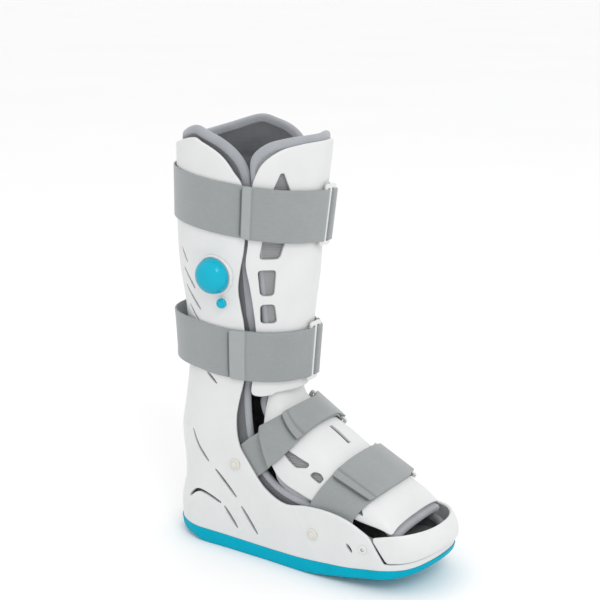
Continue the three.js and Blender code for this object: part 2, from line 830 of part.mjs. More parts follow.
// The station that lies at a place along the boot, at the toe guard's level.
function stationAt(y) {
  let low = 0;
  let high = 1;
  for (let step = 0; step < 40; step += 1) {
    const middle = (low + high) / 2;
    if (stationAlong(middle, guardLevel, 0) > y) low = middle;
    else high = middle;
  }
  return low;
}
addPiece('toe_guard', toeGuard(), materials.shell);

// Straps run over a guide: a surface with a distance along the strap in millimetres and a share across it.
// A surface takes an angle or share instead of the distance, and measured turns the one into the other.
function measured(surface, from, to, base) {
  const steps = 160;
  const stops = [{ at: from, distance: 0 }];
  for (let step = 1; step <= steps; step += 1) {
    const at = THREE.MathUtils.lerp(from, to, step / steps);
    const run = surface(at, 0.5).distanceTo(surface(stops.at(-1).at, 0.5));
    stops.push({ at, distance: stops.at(-1).distance + run });
  }
  const look = (value, known, wanted) => {
    const index = stops.findIndex((stop) => stop[known] >= value);
    const after = stops[index < 0 ? steps : Math.max(index, 1)];
    const before = stops[stops.indexOf(after) - 1];
    const share = (value - before[known]) / (after[known] - before[known]);
    return THREE.MathUtils.lerp(before[wanted], after[wanted], share);
  };
  return {
    base,
    place: (distance, across) => surface(look(distance, 'distance', 'at'), across),
    distanceAt: (at) => look(at, 'at', 'distance'),
  };
}

function overGuide(guide, distance, across, offset) {
  const along = guide.place(distance + 1, across).sub(guide.place(distance - 1, across));
  const over = guide.place(distance, across + 0.02).sub(guide.place(distance, across - 0.02));
  const normal = along.cross(over).normalize();
  return guide.place(distance, across).addScaledVector(normal, guide.base + offset);
}

// The flat frame of a ring whose two outer bars lie over a guide with a gap between them, the near bar at a
// distance and lifted, the far bar farther out by the rise.
function ringFrame(guide, near, width, gap, lift, rise = 0) {
  const pitch = gap + ringBar;
  const barAt = (distance, raised) => {
    const low = overGuide(guide, distance, 0, barOffset + raised);
    const high = overGuide(guide, distance, 1, barOffset + raised);
    return { middle: low.clone().lerp(high, 0.5), up: high.sub(low) };
  };
  const first = barAt(near, lift);
  const second = barAt(near + pitch, lift + rise);
  const right = second.middle.clone().sub(first.middle).normalize();
  const out = right.clone().cross(first.up.clone().add(second.up)).normalize();
  const up = out.clone().cross(right);
  const centre = first.middle.clone().lerp(second.middle, 0.5);
  const place = (distance, across, offset) =>
    centre
      .clone()
      .addScaledVector(right, distance - near - pitch / 2)
      .addScaledVector(up, (across - 0.5) * width)
      .addScaledVector(out, offset - barOffset);
  return { near, far: near + pitch, gap, right, up, out, centre, place };
}

// A strap along a course of sections, each with a distance, an offset from the guide, an inset of its
// edges and, round a ring's bar, the ring's frame.
function strap(guide, course, rows = 1) {
  const points = [];
  const steps = Array.from({ length: rows + 1 }, (_, row) => row / rows);
  const ring = [...steps.map((edge) => [edge, -1]), ...steps.map((edge) => [1 - edge, 1])];
  course.forEach(({ distance, offset, inset = 0, frame }, index) => {
    const before = course[Math.max(index - 1, 0)];
    const after = course[Math.min(index + 1, course.length - 1)];
    const run = new THREE.Vector2(after.distance - before.distance, after.offset - before.offset).normalize();
    for (const [edge, face] of ring) {
      const across = THREE.MathUtils.lerp(inset, 1 - inset, edge);
      const shift = (face * strapThickness) / 2;
      const at = [distance - run.y * shift, across, offset + run.x * shift];
      points.push(frame ? frame.place(...at) : overGuide(guide, ...at));
    }
  });
  const size = ring.length;
  const triangles = [];
  const quad = (a, b, c, d) => triangles.push([a, b, c], [a, c, d]);
  for (let section = 0; section < course.length - 1; section += 1) {
    for (let corner = 0; corner < size; corner += 1) {
      const here = size * section;
      const next = (corner + 1) % size;
      quad(here + corner, here + next, here + size + next, here + size + corner);
    }
  }
  const last = size * (course.length - 1);
  for (let row = 0; row < rows; row += 1) {
    const opposite = size - 1 - row;
    quad(opposite, opposite - 1, row + 1, row);
    quad(last + row, last + row + 1, last + opposite - 1, last + opposite);
  }
  return facingOut(points, triangles);
}

const underOffset = strapLift + strapThickness / 2;
const barOffset = underOffset + strapThickness / 2 + fit + ringThickness / 2;
const overBarOffset = 2 * barOffset - underOffset;
const overOffset = underOffset + strapThickness + strapLift;
const barRise = 12;
const calfStep = 11;
const footStep = 7.5;

// The turn of a strap round a ring's bar, from under it to over it, towards the ring's middle. Where the
// strap goes round more than once, turn is the length of one round.
function roundBar(frame, towards, turn = 0) {
  const bar = towards > 0 ? frame.near : frame.far;
  const middle = bar + (towards * ringBar) / 2;
  const radius = barOffset - underOffset;
  const turns = [-90, -50, -15, 15, 50, 90].map((angle) => {
    const turned = THREE.MathUtils.degToRad(angle);
    return [middle + towards * radius * Math.cos(turned), barOffset + radius * Math.sin(turned)];
  });
  const before = [bar - (towards * ringBar) / 2, underOffset];
  const after = [bar - (towards * ringBar) / 2, overBarOffset];
  const flat = { ...frame, place: (distance, ...rest) => frame.place(distance - turn, ...rest) };
  return [before, ...turns, after].map(([distance, offset]) => ({
    distance: distance + turn,
    offset,
    frame: flat,
  }));
}

// Whole steps along a strap between two distances.
function stopsBetween(from, to, step) {
  const first = Math.ceil(from / step + 0.3);
  const last = Math.floor(to / step - 0.3);
  return Array.from({ length: Math.max(last - first + 1, 0) }, (_, index) => (first + index) * step);
}

// The outer layer that comes back from a bar and ends at a distance, its corners cut.
function outerLayer(bar, end, step) {
  const back = Math.sign(end - bar);
  const rested = bar + back * barRise;
  const inner = stopsBetween(Math.min(rested, end), Math.max(rested, end), step);
  const stops = back < 0 ? inner.reverse() : inner;
  const laid = [rested, ...stops, end - back * 4].map((distance) => ({ distance, offset: overOffset }));
  return [...laid, { distance: end, offset: overOffset, inset: 0.09 }];
}

// A flat rectangular ring in its frame. A middle bar leaves a slot on each side of it.
function ring(frame, width, middleBar = 0) {
  const rectangle = (middle, halfAlong, halfAcross, radius) => {
    const corners = [[-1, -1], [1, -1], [1, 1], [-1, 1]].map(([a, b]) => [a * halfAlong, b * halfAcross]);
    return roundedOutline(corners, radius).map(([a, b]) => new THREE.Vector2(a + middle, b));
  };
  const sides = middleBar > 0 ? [-1, 1] : [0];
  const slot = (frame.gap - middleBar) / sides.length;
  const halfOpen = width / 2 + ringRoom;
  const shape = new THREE.Shape(rectangle(0, frame.gap / 2 + ringBar, halfOpen + ringBar, ringBar));
  for (const side of sides) {
    const middle = (side * (middleBar + slot)) / 2;
    shape.holes.push(new THREE.Path(rectangle(middle, slot / 2, halfOpen, ringRoom)));
  }
  const geometry = new THREE.ExtrudeGeometry(shape, { depth: ringThickness, bevelEnabled: false });
  const { right, up, out, centre } = frame;
  const start = centre.clone().addScaledVector(out, -ringThickness / 2);
  return geometry.applyMatrix4(new THREE.Matrix4().makeBasis(right, up, out).setPosition(start));
}

// Calf straps: each is sewn round the far bar, runs round the back and the outer side over the front, turns
// round the near bar and ends on the outer side. height is a share of the boot's height, slope and tilt are
// the strap's rise to the back and fall to the outer side, and bar and end are angles from the front. The
// strap settles from the far bar's rise on both sides of it.
const calfStraps = table('height slope tilt standoff bar end', [
  [0.8231, 0.12, 0.055, upperStandoff, 4, 67],
  [0.4929, 0.08, 0, lowerStandoff, 1, 79],
]);

function calfSurface({ height, slope, tilt }) {
  return (angle, across) => {
    const at = (z) => {
      const { half, shaftFront, back } = reach(z, 0);
      const y = (back - shaftFront - (back + shaftFront) * Math.cos(angle)) / 2;
      return new THREE.Vector3(half * Math.sin(angle), y, z);
    };
    const rough = at(atHeight(height));
    return at(rough.z + slope * rough.y - tilt * rough.x + (across - 0.5) * calfStrapWidth);
  };
}

calfStraps.forEach((row, index) => {
  const round = 2 * Math.PI;
  const guide = measured(calfSurface(row), 0, round + 1, 0);
  const turn = guide.distanceAt(round);
  const near = guide.distanceAt(THREE.MathUtils.degToRad(row.bar));
  const frame = ringFrame(guide, near, calfStrapWidth, calfRingGap, 0, calfRingRise);
  const settling = (distance) =>
    calfRingRise * (1 - THREE.MathUtils.smoothstep(distance, frame.far, frame.far + calfRingSettle));
  const backOffset = (distance) => {
    const away = Math.abs(distance / turn - 0.5);
    const stand = row.standoff * (1 - THREE.MathUtils.smoothstep(away, 0.05, 0.2));
    return underOffset + stand + settling(distance);
  };
  const tail = outerLayer(frame.far, frame.far + strapTail, calfStep).reverse();
  const under = stopsBetween(frame.far + calfStep / 2, turn + near - calfStep / 2, calfStep);
  const course = [
    ...tail.map((stop) => ({ ...stop, offset: stop.offset + settling(stop.distance) })),
    ...roundBar(frame, -1).reverse(),
    ...under.map((distance) => ({ distance, offset: backOffset(distance) })),
    ...roundBar(frame, 1, turn),
    ...outerLayer(turn + near, guide.distanceAt(round - THREE.MathUtils.degToRad(row.end)), calfStep),
  ];
  const name = ['upper', 'lower'][index];
  addPiece(`${name}_calf_strap`, strap(guide, course), materials.webbing);
  addPiece(`${name}_calf_ring`, ring(frame, calfStrapWidth, calfRingMiddle), materials.ring);
});

// Foot straps: from inside the shell's outer wall over the cover, round the ring's near bar and back. A tab
// from inside the inner wall holds the ring's far bar. front and rear are the cover's shares at its crest.
// The tucked ends run back and down by shares of the tuck's length, between the shell and the liner: inset
// and twist, across the strap's width, move them inwards by shares of the room there.
const footStraps = table('width front rear frontSkew rearSkew back down inset twist lift bar end', [
  [instepStrapWidth, 0.65, 0.815, 0.07, 0.02, 1, 0.9, 0.2, -0.625, instepLift, 0.5, 0.52],
  [forefootStrapWidth, 0.17, 0.41, 0.1, 0.1, 0.05, 1, 0.05, 0, 0, 0.46, 0.6],
]);
const coverEdge = 0.98;
const tuckedShare = 1.9;
const footRingLift = 1.2;

function footSurface({ front, rear, frontSkew, rearSkew, back, down, inset, twist, lift }) {
  const middle = shellWall + strapRoom / 2 + coverWall / 2 + lift + underOffset;
  return (q, across) => {
    const inside = THREE.MathUtils.clamp(q, -coverEdge, coverEdge);
    const first = front + frontSkew * inside * inside;
    const second = rear + rearSkew * inside * inside;
    const point = coverPoint(THREE.MathUtils.lerp(first, second, across), inside);
    const tucked = Math.abs(q) - coverEdge;
    if (tucked <= 0) return point;
    const y = point.y + back * tuckLength * tucked;
    const z = point.z - down * tuckLength * tucked;
    const inwards = middle + strapRoom * (inset + twist * across);
    const wall = Math.sign(q) * (halfWidth(y, z, 0) - inwards);
    return new THREE.Vector3(THREE.MathUtils.lerp(point.x, wall, Math.min(3 * tucked, 1)), y, z);
  };
}

footStraps.forEach((row, index) => {
  const guide = measured(footSurface(row), -tuckedShare, tuckedShare, coverWall / 2 + row.lift);
  const near = guide.distanceAt(row.bar);
  const frame = ringFrame(guide, near, row.width, footRingGap, footRingLift);
  const start = guide.distanceAt(-tuckedShare + 0.1);
  const tabEnd = guide.distanceAt(tuckedShare - 0.1);
  const laid = (distance) => ({ distance, offset: underOffset });
  const name = ['instep', 'forefoot'][index];
  const course = [
    laid(start),
    ...stopsBetween(start, near - footStep / 2, footStep).map(laid),
    ...roundBar(frame, 1),
    ...outerLayer(near, guide.distanceAt(-row.end), footStep),
  ];
  const tab = [
    ...outerLayer(frame.far, frame.far + strapTail, footStep).reverse(),
    ...roundBar(frame, -1).reverse(),
    ...stopsBetween(frame.far + footStep / 2, tabEnd, footStep).map(laid),
    laid(tabEnd),
  ];
  addPiece(`${name}_strap`, strap(guide, course, 2), materials.webbing);
  addPiece(`${name}_tab`, strap(guide, tab, 2), materials.webbing);
  addPiece(`${name}_ring`, ring(frame, row.width), materials.ring);
});

// A turned profile of radii and heights that stands on the outer face, clear of it by a lift.
function turned(profile, segments, y, z, side) {
  const points = profile.map(([radius, height]) => new THREE.Vector2(radius, height));
  const geometry = new THREE.LatheGeometry(points, segments);
  geometry.applyQuaternion(new THREE.Quaternion().setFromUnitVectors(alongY, sideNormal(y, z, side)));
  const { x } = sidePoint(y, z, side);
  return solid(geometry.translate(x, y, z));
}

const faceSkin = faceBody(floorLevel + fit, bootHeight, fit);
const seatDepth = 8;
const disc = (radius, rise) => [[0, -seatDepth], [radius, -seatDepth], [radius, rise], [0, rise]];

// A low dome from a rim height, in steps of a quarter circle.
function dome(radius, foot, rise, steps) {
  const rim = Array.from({ length: steps + 1 }, (_, step) => {
    const angle = (step * Math.PI) / (2 * steps);
    return [step === steps ? 0 : radius * Math.cos(angle), foot + rise * Math.sin(angle)];
  });
  return rim;
}

// Air pump on the outer side between the calf straps: a rubber bulb on a round seat, with the release valve
// below it.
const outerSide = -1;
const [upperHeight, lowerHeight] = calfStraps.map(({ height }) => atHeight(height));
const pumpHeight = THREE.MathUtils.lerp(lowerHeight, upperHeight, pumpBetweenStraps);
const pump = (profile, segments) => turned(profile, segments, pumpAlong, pumpHeight, outerSide);
const valveHeightUp = pumpHeight - valveDrop;
const valve = (profile, segments) => turned(profile, segments, valveAlong, valveHeightUp, outerSide);
const bulbFoot = bulbSeatRise + fit;
addPiece('pump_seat', pump(disc(bulbSeatRadius, bulbSeatRise), 24).subtract(faceSkin), materials.shell);
const bulb = [[0, bulbFoot], ...dome(bulbRadius, bulbFoot, bulbHeight, 6)];
addPiece('pump_bulb', pump(bulb, 24), materials.bulb);
addPiece('valve_seat', valve(disc(valveSeatRadius, valveSeatRise), 14).subtract(faceSkin), materials.shell);
const knobFoot = valveSeatRise + fit;
const knob = [[0, knobFoot], ...dome(valveRadius, knobFoot, valveHeight, 3)];
addPiece('valve_knob', valve(knob, 14), materials.bulb);

// Rivets and the toe guard's screws, on both sides of the shell.
const rivets = table('along height', [
  [-0.036, 0.218],
  [-0.345, 0.1007],
]);
const screwPlace = [-0.53, 0.0967];
const sides = [['outer', -1], ['inner', 1]];

for (const [sideName, side] of sides) {
  rivets.forEach(({ along, height }, index) => {
    const profile = [[0, -seatDepth], [rivetRadius, -seatDepth], ...dome(rivetRadius, fit, rivetRise, 2)];
    const head = turned(profile, 12, atAlong(along), atHeight(height), side).subtract(faceSkin);
    addPiece(`${['ankle', 'foot'][index]}_rivet_${sideName}`, head, materials.rivet);
  });
  const rim = [
    [0, -seatDepth],
    [screwRadius, -seatDepth],
    [screwRadius, screwRise],
    [screwRecess, screwRise],
    [0, fit + screwRise / 4],
  ];
  const [along, height] = screwPlace;
  const screw = turned(rim, 12, atAlong(along), atHeight(height), side).subtract(faceSkin);
  addPiece(`guard_screw_${sideName}`, screw, materials.screw);
}

export default boot;
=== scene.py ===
import json
import math

import bpy
import numpy as np
from mathutils import Matrix, Vector

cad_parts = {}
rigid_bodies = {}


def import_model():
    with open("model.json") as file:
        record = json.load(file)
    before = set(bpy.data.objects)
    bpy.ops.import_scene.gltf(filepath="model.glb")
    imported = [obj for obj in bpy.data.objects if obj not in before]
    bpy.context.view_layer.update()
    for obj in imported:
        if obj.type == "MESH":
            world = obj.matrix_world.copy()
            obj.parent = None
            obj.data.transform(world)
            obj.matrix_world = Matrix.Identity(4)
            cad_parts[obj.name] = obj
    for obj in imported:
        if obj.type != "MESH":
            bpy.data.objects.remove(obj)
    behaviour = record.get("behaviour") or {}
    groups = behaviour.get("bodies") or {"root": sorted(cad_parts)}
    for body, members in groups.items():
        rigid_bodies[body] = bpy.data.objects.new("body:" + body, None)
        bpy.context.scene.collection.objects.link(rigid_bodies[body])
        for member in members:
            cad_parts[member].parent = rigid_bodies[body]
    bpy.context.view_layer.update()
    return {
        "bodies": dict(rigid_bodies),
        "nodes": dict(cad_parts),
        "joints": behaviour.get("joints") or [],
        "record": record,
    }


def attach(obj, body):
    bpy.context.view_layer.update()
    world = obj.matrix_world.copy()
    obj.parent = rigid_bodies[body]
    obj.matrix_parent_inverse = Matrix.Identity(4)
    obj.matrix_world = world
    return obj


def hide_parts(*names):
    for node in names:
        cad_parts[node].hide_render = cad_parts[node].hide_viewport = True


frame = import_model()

bl_info = {
    "name": "Walking boot",
    "version": (1, 0, 0),
    "blender": (4, 5, 0),
    "location": "3D View > Sidebar > Boot",
    "description": "Dresses a tall walking boot with its shells, padding, webbing and air pump",
    "category": "Object",
}

MM = 0.001


class Table:
    """Rows of shares, read on a smooth curve along the first column."""

    def __init__(self, columns, rows):
        self.names = columns.split()
        self.rows = np.array(rows, dtype=float)

    def read(self, column, at):
        keys = self.rows[:, 0]
        values = self.rows[:, self.names.index(column)]
        last = len(keys) - 1
        before = np.maximum(np.arange(last + 1) - 1, 0)
        after = np.minimum(np.arange(last + 1) + 1, last)
        slopes = (values[after] - values[before]) / (keys[after] - keys[before])
        start = np.clip(np.searchsorted(keys, at, side="right") - 1, 0, last - 1)
        span = keys[start + 1] - keys[start]
        t = np.clip((at - keys[start]) / span, 0, 1)
        rise = t * t * (3 - 2 * t)
        ease = slopes[start] * t * (1 - t) ** 2 - slopes[start + 1] * t * t * (1 - t)
        return values[start] + (values[start + 1] - values[start]) * rise + span * ease


# The shell's outer face at each height: heights are shares of the boot's height, half widths of half the
# calf's width, front and back reaches of half the calf's depth.
SHAFT = Table("height half front back", [
    [0.033, 0.62, 0.76, 1.01],
    [0.083, 0.64, 0.76, 1.01],
    [0.11, 0.65, 0.76, 0.98],
    [0.137, 0.66, 0.76, 0.94],
    [0.186, 0.68, 0.76, 0.935],
    [0.266, 0.715, 0.76, 0.985],
    [0.34, 0.72, 0.76, 0.92],
    [0.434, 0.755, 0.765, 0.835],
    [0.472, 0.78, 0.775, 0.822],
    [0.583, 0.83, 0.845, 0.86],
    [0.66, 0.885, 0.897, 0.925],
    [0.743, 0.93, 0.924, 0.945],
    [0.85, 0.965, 0.985, 0.935],
    [0.943, 1.0, 1.045, 0.925],
    [1.02, 1.01, 1.07, 0.92],
])

# The foot's outline from above and the faces of the sole: along is a share of the sole's length, half of
# half the forefoot's width, top and under of the boot's height.
FOOT = Table("along half top under", [
    [-0.73, 0.9, 0.0785, 0.066],
    [-0.675, 0.94, 0.0625, 0.048],
    [-0.61, 0.97, 0.0555, 0.035],
    [-0.53, 0.995, 0.049, 0.026],
    [-0.47, 1.0, 0.0435, 0.019],
    [-0.39, 0.98, 0.039, 0.0095],
    [-0.33, 0.955, 0.0355, 0.003],
    [-0.28, 0.925, 0.033, 0],
    [-0.16, 0.86, 0.0315, 0],
    [0, 0.795, 0.033, 0],
    [0.1, 0.77, 0.034, 0],
    [0.16, 0.755, 0.035, 0.0095],
    [0.21, 0.742, 0.0357, 0.0125],
    [0.27, 0.73, 0.036, 0.019],
])
TOE_REACH = 0.722
HEEL_ROUND = 0.15
TOE_ROUND = 0.158
TOE_POWER = 2.3
HEEL_POWER = 2
REAR_SHARE = 0.4
FLOOR_SHARE = 0.033

# The arched cover over the foot: t runs from its front edge to the ankle.
COVER = Table("t along height half drop lean", [
    [0, -0.615, 0.15, 0.825, 0.018, 0],
    [0.09, -0.575, 0.182, 0.838, 0.042, 0],
    [0.2, -0.525, 0.208, 0.842, 0.064, 2],
    [0.32, -0.46, 0.238, 0.84, 0.088, 5],
    [0.44, -0.395, 0.268, 0.838, 0.112, 8],
    [0.56, -0.33, 0.3, 0.84, 0.13, 13],
    [0.68, -0.265, 0.326, 0.81, 0.133, 22],
    [0.78, -0.212, 0.345, 0.74, 0.09, 36],
    [0.88, -0.174, 0.368, 0.52, 0.05, 60],
    [1, -0.158, 0.415, 0.42, 0.02, 84],
])
ARCH_POWER = 2.6

# Side view lines, as shares of the sole's length and the boot's height.
SHELL_EDGE = [
    [0.3, 0.935], [0.24, 0.941], [0.18, 0.957], [0.07, 0.977], [0.03, 0.97], [-0.02, 0.955],
    [-0.056, 0.936], [-0.086, 0.906], [-0.107, 0.88], [-0.112, 0.83], [-0.109, 0.771], [-0.099, 0.724],
    [-0.086, 0.684], [-0.076, 0.642], [-0.079, 0.601], [-0.086, 0.552], [-0.085, 0.48], [-0.076, 0.429],
    [-0.053, 0.368], [-0.043, 0.328], [-0.047, 0.281], [-0.069, 0.243], [-0.15, 0.18], [-0.23, 0.154],
    [-0.315, 0.163], [-0.395, 0.165], [-0.474, 0.155], [-0.548, 0.128],
]
PANEL_EDGE = [
    [-0.42, 0.97], [-0.28, 0.969], [-0.245, 0.965], [-0.2155, 0.9575], [-0.184, 0.941], [-0.161, 0.922],
    [-0.145, 0.8985], [-0.135, 0.877], [-0.124, 0.83], [-0.114, 0.75], [-0.104, 0.7], [-0.112, 0.6415],
    [-0.118, 0.5425], [-0.11, 0.47], [-0.094, 0.403], [-0.099, 0.391], [-0.12, 0.387], [-0.15, 0.39],
    [-0.185, 0.397], [-0.42, 0.397],
]
LINER_EDGE = [
    [0.3, 0.955], [0.24, 0.961], [0.17, 0.98], [0.082, 1.0], [0.023, 0.9905], [-0.033, 0.976],
    [-0.079, 0.953], [-0.1085, 0.922], [-0.119, 0.88], [-0.122, 0.78], [-0.122, 0.68], [-0.122, 0.56],
    [-0.105, 0.46], [-0.079, 0.4], [-0.079, 0.31], [-0.1, 0.245], [-0.15, 0.205], [-0.22, 0.18],
    [-0.3, 0.166], [-0.39, 0.143], [-0.49, 0.125], [-0.6, 0.108], [-0.8, 0.1],
]
SHIN_PAD_EDGE = [
    [-0.42, 0.984], [-0.26, 0.982], [-0.205, 0.976], [-0.171, 0.967], [-0.14, 0.948], [-0.128, 0.928],
    [-0.127, 0.88], [-0.13, 0.78], [-0.13, 0.68], [-0.13, 0.56], [-0.114, 0.475], [-0.12, 0.45],
    [-0.2, 0.446], [-0.42, 0.446],
]
GUARD_TOP = Table("along height", [
    [-0.73, 0.143], [-0.69, 0.141], [-0.65, 0.138], [-0.6, 0.133], [-0.548, 0.124],
])
GUARD_BACK = -0.548
GUARD_FOOT = -0.6
LIP_STEPS = [GUARD_FOOT, -0.63, -0.66, -0.69, -0.72, -0.78]

# Vent slots on both sides of the shell, by the side view points that each one runs through.
VENTS = [
    [[0.15, 0.718], [0.123, 0.69]],
    [[0.144, 0.672], [0.094, 0.632]],
    [[0.141, 0.63], [0.076, 0.583]],
    [[0.131, 0.584], [0.085, 0.551]],
    [[0.058, 0.432], [0.025, 0.411]],
    [[0.137, 0.279], [0.11, 0.242], [0.074, 0.211]],
    [[0.043, 0.192], [-0.036, 0.138]],
    [[-0.06, 0.115], [-0.12, 0.06]],
    [[0.165, 0.106], [0.135, 0.125], [0.1, 0.129], [0.029, 0.112]],
    [[0.011, 0.104], [-0.038, 0.061]],
    [[-0.474, 0.099], [-0.489, 0.085]],
]

# Windows of the shin panel: angle from the front in degrees, low edge and height as shares of the boot's
# height, and the corners across as shares of the calf's width.
WINDOWS = [
    [33.5, 0.822, 0.084, -0.012, 0.012, -0.115, 0.115],
    [39.5, 0.713, 0.047, -0.062, 0.1, -0.085, 0.055],
    [43, 0.628, 0.06, -0.066, 0.062, -0.045, 0.05],
    [41, 0.563, 0.045, -0.058, 0.04, -0.055, 0.062],
]

# Openings of the foot cover, as points of t along it and q across it.
COVER_SLOTS = [
    [[0.712, 0.765], [0.7, 0.7], [0.66, 0.668], [0.568, 0.645], [0.572, 0.705], [0.625, 0.785]],
    [[0.55, 0.765], [0.535, 0.69], [0.5, 0.655], [0.475, 0.69], [0.49, 0.78]],
    [[0.27, 0.868], [0.246, 0.723], [0.218, 0.873]],
]
COVER_EDGE = 0.98
COVER_LENGTH = 0.19
CREST_SLOT = [[0.616, -0.013], [0.616, 0.013], [0.487, 0.013], [0.487, -0.013]]


class Form:
    """The boot's faces in metres, from its sizes."""

    def __init__(self, sizes):
        self.high = sizes.boot_height
        self.long = sizes.sole_length
        self.foot = sizes.forefoot_width
        self.calf = sizes.calf_width
        self.deep = sizes.calf_depth
        self.floor = FLOOR_SHARE * self.high

    def floor_top(self, y):
        return self.high * FOOT.read("top", y / self.long)

    def floor_under(self, y):
        return self.high * np.maximum(FOOT.read("under", y / self.long), 0)

    def shaft_share(self, z):
        return ease((z / self.high - 0.175) / 0.125)

    def reach(self, z, outset):
        share = z / self.high
        half = SHAFT.read("half", share) * self.calf / 2 + outset
        shaft_front = SHAFT.read("front", share) * self.deep / 2 + outset
        back = SHAFT.read("back", share) * self.deep / 2 + outset
        toe = TOE_REACH * self.long + outset
        front = toe + (shaft_front - toe) * self.shaft_share(z)
        return half, shaft_front, back, front

    def half_width(self, y, z, outset=0.0):
        half, shaft_front, back, front = self.reach(z, outset)
        toe = round_end(y + front, TOE_ROUND * self.long + outset, TOE_POWER)
        heel = round_end(back - y, HEEL_ROUND * self.long + outset, HEEL_POWER)
        lean = 0.03 * (z - self.floor)
        foot = (FOOT.read("half", y / self.long) * self.foot / 2 + lean + outset) * toe * heel
        middle = (back - shaft_front) / 2
        depth = (back + shaft_front) / 2
        shaft = half * np.sqrt(np.maximum(1 - ((y - middle) / depth) ** 2, 0))
        return foot + (shaft - foot) * self.shaft_share(z)

    def lift(self, y, z):
        rise = np.maximum((z - self.floor - 0.3 * MM) / (self.high - self.floor), 0)
        return (self.floor_top(y) - self.floor) * np.maximum(1 - rise, 0) ** 4

    def along(self, s, z, outset):
        _, shaft_front, back, front = self.reach(z, outset)
        shaft = back - (back + shaft_front) * (1 - np.cos(np.pi * s)) / 2
        spread = np.maximum((s - REAR_SHARE) / (1 - REAR_SHARE), 0)
        return shaft - (front - shaft_front) * (1 - np.cos(np.pi * spread)) / 2

    def face(self, w, z, outset=0.0, lifted=True):
        """A point of the outer face: w runs from 0 at the heel to 1 or -1 at the toe on either side."""
        s = np.minimum(np.abs(w), 1)
        y = self.along(s, z, outset)
        x = np.sign(w) * self.half_width(y, z, outset)
        x = np.where((s < 1e-9) | (s > 1 - 1e-9), 0, x)
        up = self.lift(y, z) if lifted else 0 * y
        return np.stack([x, y, z + up], axis=-1)

    def cover(self, t, q):
        half = COVER.read("half", t) * self.foot / 2
        drop = COVER.read("drop", t) * self.high
        lean = np.radians(COVER.read("lean", t))
        turn = q * np.pi / 2
        x = np.sign(turn) * half * np.abs(np.sin(turn)) ** (2 / ARCH_POWER)
        down = drop * (1 - np.maximum(np.cos(turn), 0) ** (2 / ARCH_POWER))
        y = COVER.read("along", t) * self.long + down * np.sin(lean)
        z = COVER.read("height", t) * self.high - down * np.cos(lean)
        return np.stack([x, y, z], axis=-1)

    def side_point(self, y, z, side):
        level = z - self.lift(y, z - self.lift(y, z))
        return np.stack([side * self.half_width(y, level), y, z + 0 * y], axis=-1)

    def side_normal(self, y, z, side):
        step = 2 * MM
        along = self.side_point(y + step, z, side) - self.side_point(y - step, z, side)
        over = self.side_point(y, z + step, side) - self.side_point(y, z - step, side)
        return unit(side * np.cross(along, over))

    def side_line(self, shares):
        return spline(np.array(shares) * [self.long, self.high], 12)

    def lip_line(self, rise):
        y = np.array(LIP_STEPS) * self.long
        return np.stack([y, self.floor_top(y) + rise], axis=-1)


def ease(share):
    """A smooth rise from 0 to 1 as a share does."""
    t = np.clip(share, 0, 1)
    return t * t * (3 - 2 * t)


def round_end(distance, length, power):
    t = np.clip(1 - distance / length, 0, 1)
    return (1 - t ** power) ** (1 / power)


def unit(vectors):
    return vectors / np.maximum(np.linalg.norm(vectors, axis=-1, keepdims=True), 1e-12)


def spline(points, steps):
    """A smooth line through points, with some steps between each two."""
    count = len(points)
    t = np.linspace(0, count - 1, (count - 1) * steps + 1)
    at = np.minimum(t.astype(int), count - 2)
    f = (t - at)[:, None]
    p0, p1, p2, p3 = (points[np.clip(at + k, 0, count - 1)] for k in (-1, 0, 1, 2))
    v0, v1 = (p2 - p0) / 2, (p3 - p1) / 2
    cubic = (2 * p1 - 2 * p2 + v0 + v1) * f ** 3 + (-3 * p1 + 3 * p2 - 2 * v0 - v1) * f ** 2
    return cubic + v0 * f + p1


def room_inside(points, outline, edges):
    """How far side view points lie inside an outline, measured to its first edges."""
    near = np.full(len(points), 1e9)
    for a, b in zip(outline[:edges], outline[1:edges + 1]):
        run = b - a
        t = np.clip(((points - a) @ run) / max(run @ run, 1e-18), 0, 1)
        near = np.minimum(near, np.linalg.norm(points - a - t[:, None] * run, axis=1))
    inside = np.zeros(len(points), dtype=bool)
    for a, b in zip(outline, np.roll(outline, -1, axis=0)):
        if a[1] == b[1]:
            continue
        over = (a[1] > points[:, 1]) != (b[1] > points[:, 1])
        cross = a[0] + (points[:, 1] - a[1]) * (b[0] - a[0]) / (b[1] - a[1])
        inside ^= over & (points[:, 0] < cross)
    return np.where(inside, near, -near)


class Skin:
    """A surface over a grid of columns and rows, with its outward side."""

    def __init__(self, place, columns, levels, round_about=False):
        self.place = place
        self.columns = columns
        self.levels = np.asarray(levels, dtype=float)
        self.rows = len(self.levels) - 1
        self.round_about = round_about

    def at(self, a, b):
        if not self.round_about:
            a = np.clip(a, 0, self.columns)
        b = np.clip(b, 0, self.rows)
        v = np.interp(b, np.arange(self.rows + 1), self.levels)
        return self.place(np.mod(a / self.columns, 1) if self.round_about else a / self.columns, v)

    def slopes(self, a, b):
        h = 0.1
        return self.at(a + h, b) - self.at(a - h, b), self.at(a, b + h) - self.at(a, b - h)

    def normal(self, a, b):
        along, over = self.slopes(a, b)
        return unit(np.cross(along, over))

    def walk(self, a, b, direction, distance, steps):
        """Places reached from others by going some way over the surface."""
        stops = [(a, b)]
        step = distance / steps
        for _ in range(steps):
            along, over = self.slopes(a, b)
            along, over = along / 0.2, over / 0.2
            go = direction * step
            aa = (along * along).sum(-1)
            ab = (along * over).sum(-1)
            bb = (over * over).sum(-1)
            ga = (along * go).sum(-1)
            gb = (over * go).sum(-1)
            det = np.maximum(aa * bb - ab * ab, 1e-18)
            before = self.at(a, b)
            a = a + (ga * bb - gb * ab) / det
            b = np.clip(b + (gb * aa - ga * ab) / det, 0, self.rows)
            direction = unit(self.at(a, b) - before)
            stops.append((a, b))
        return stops


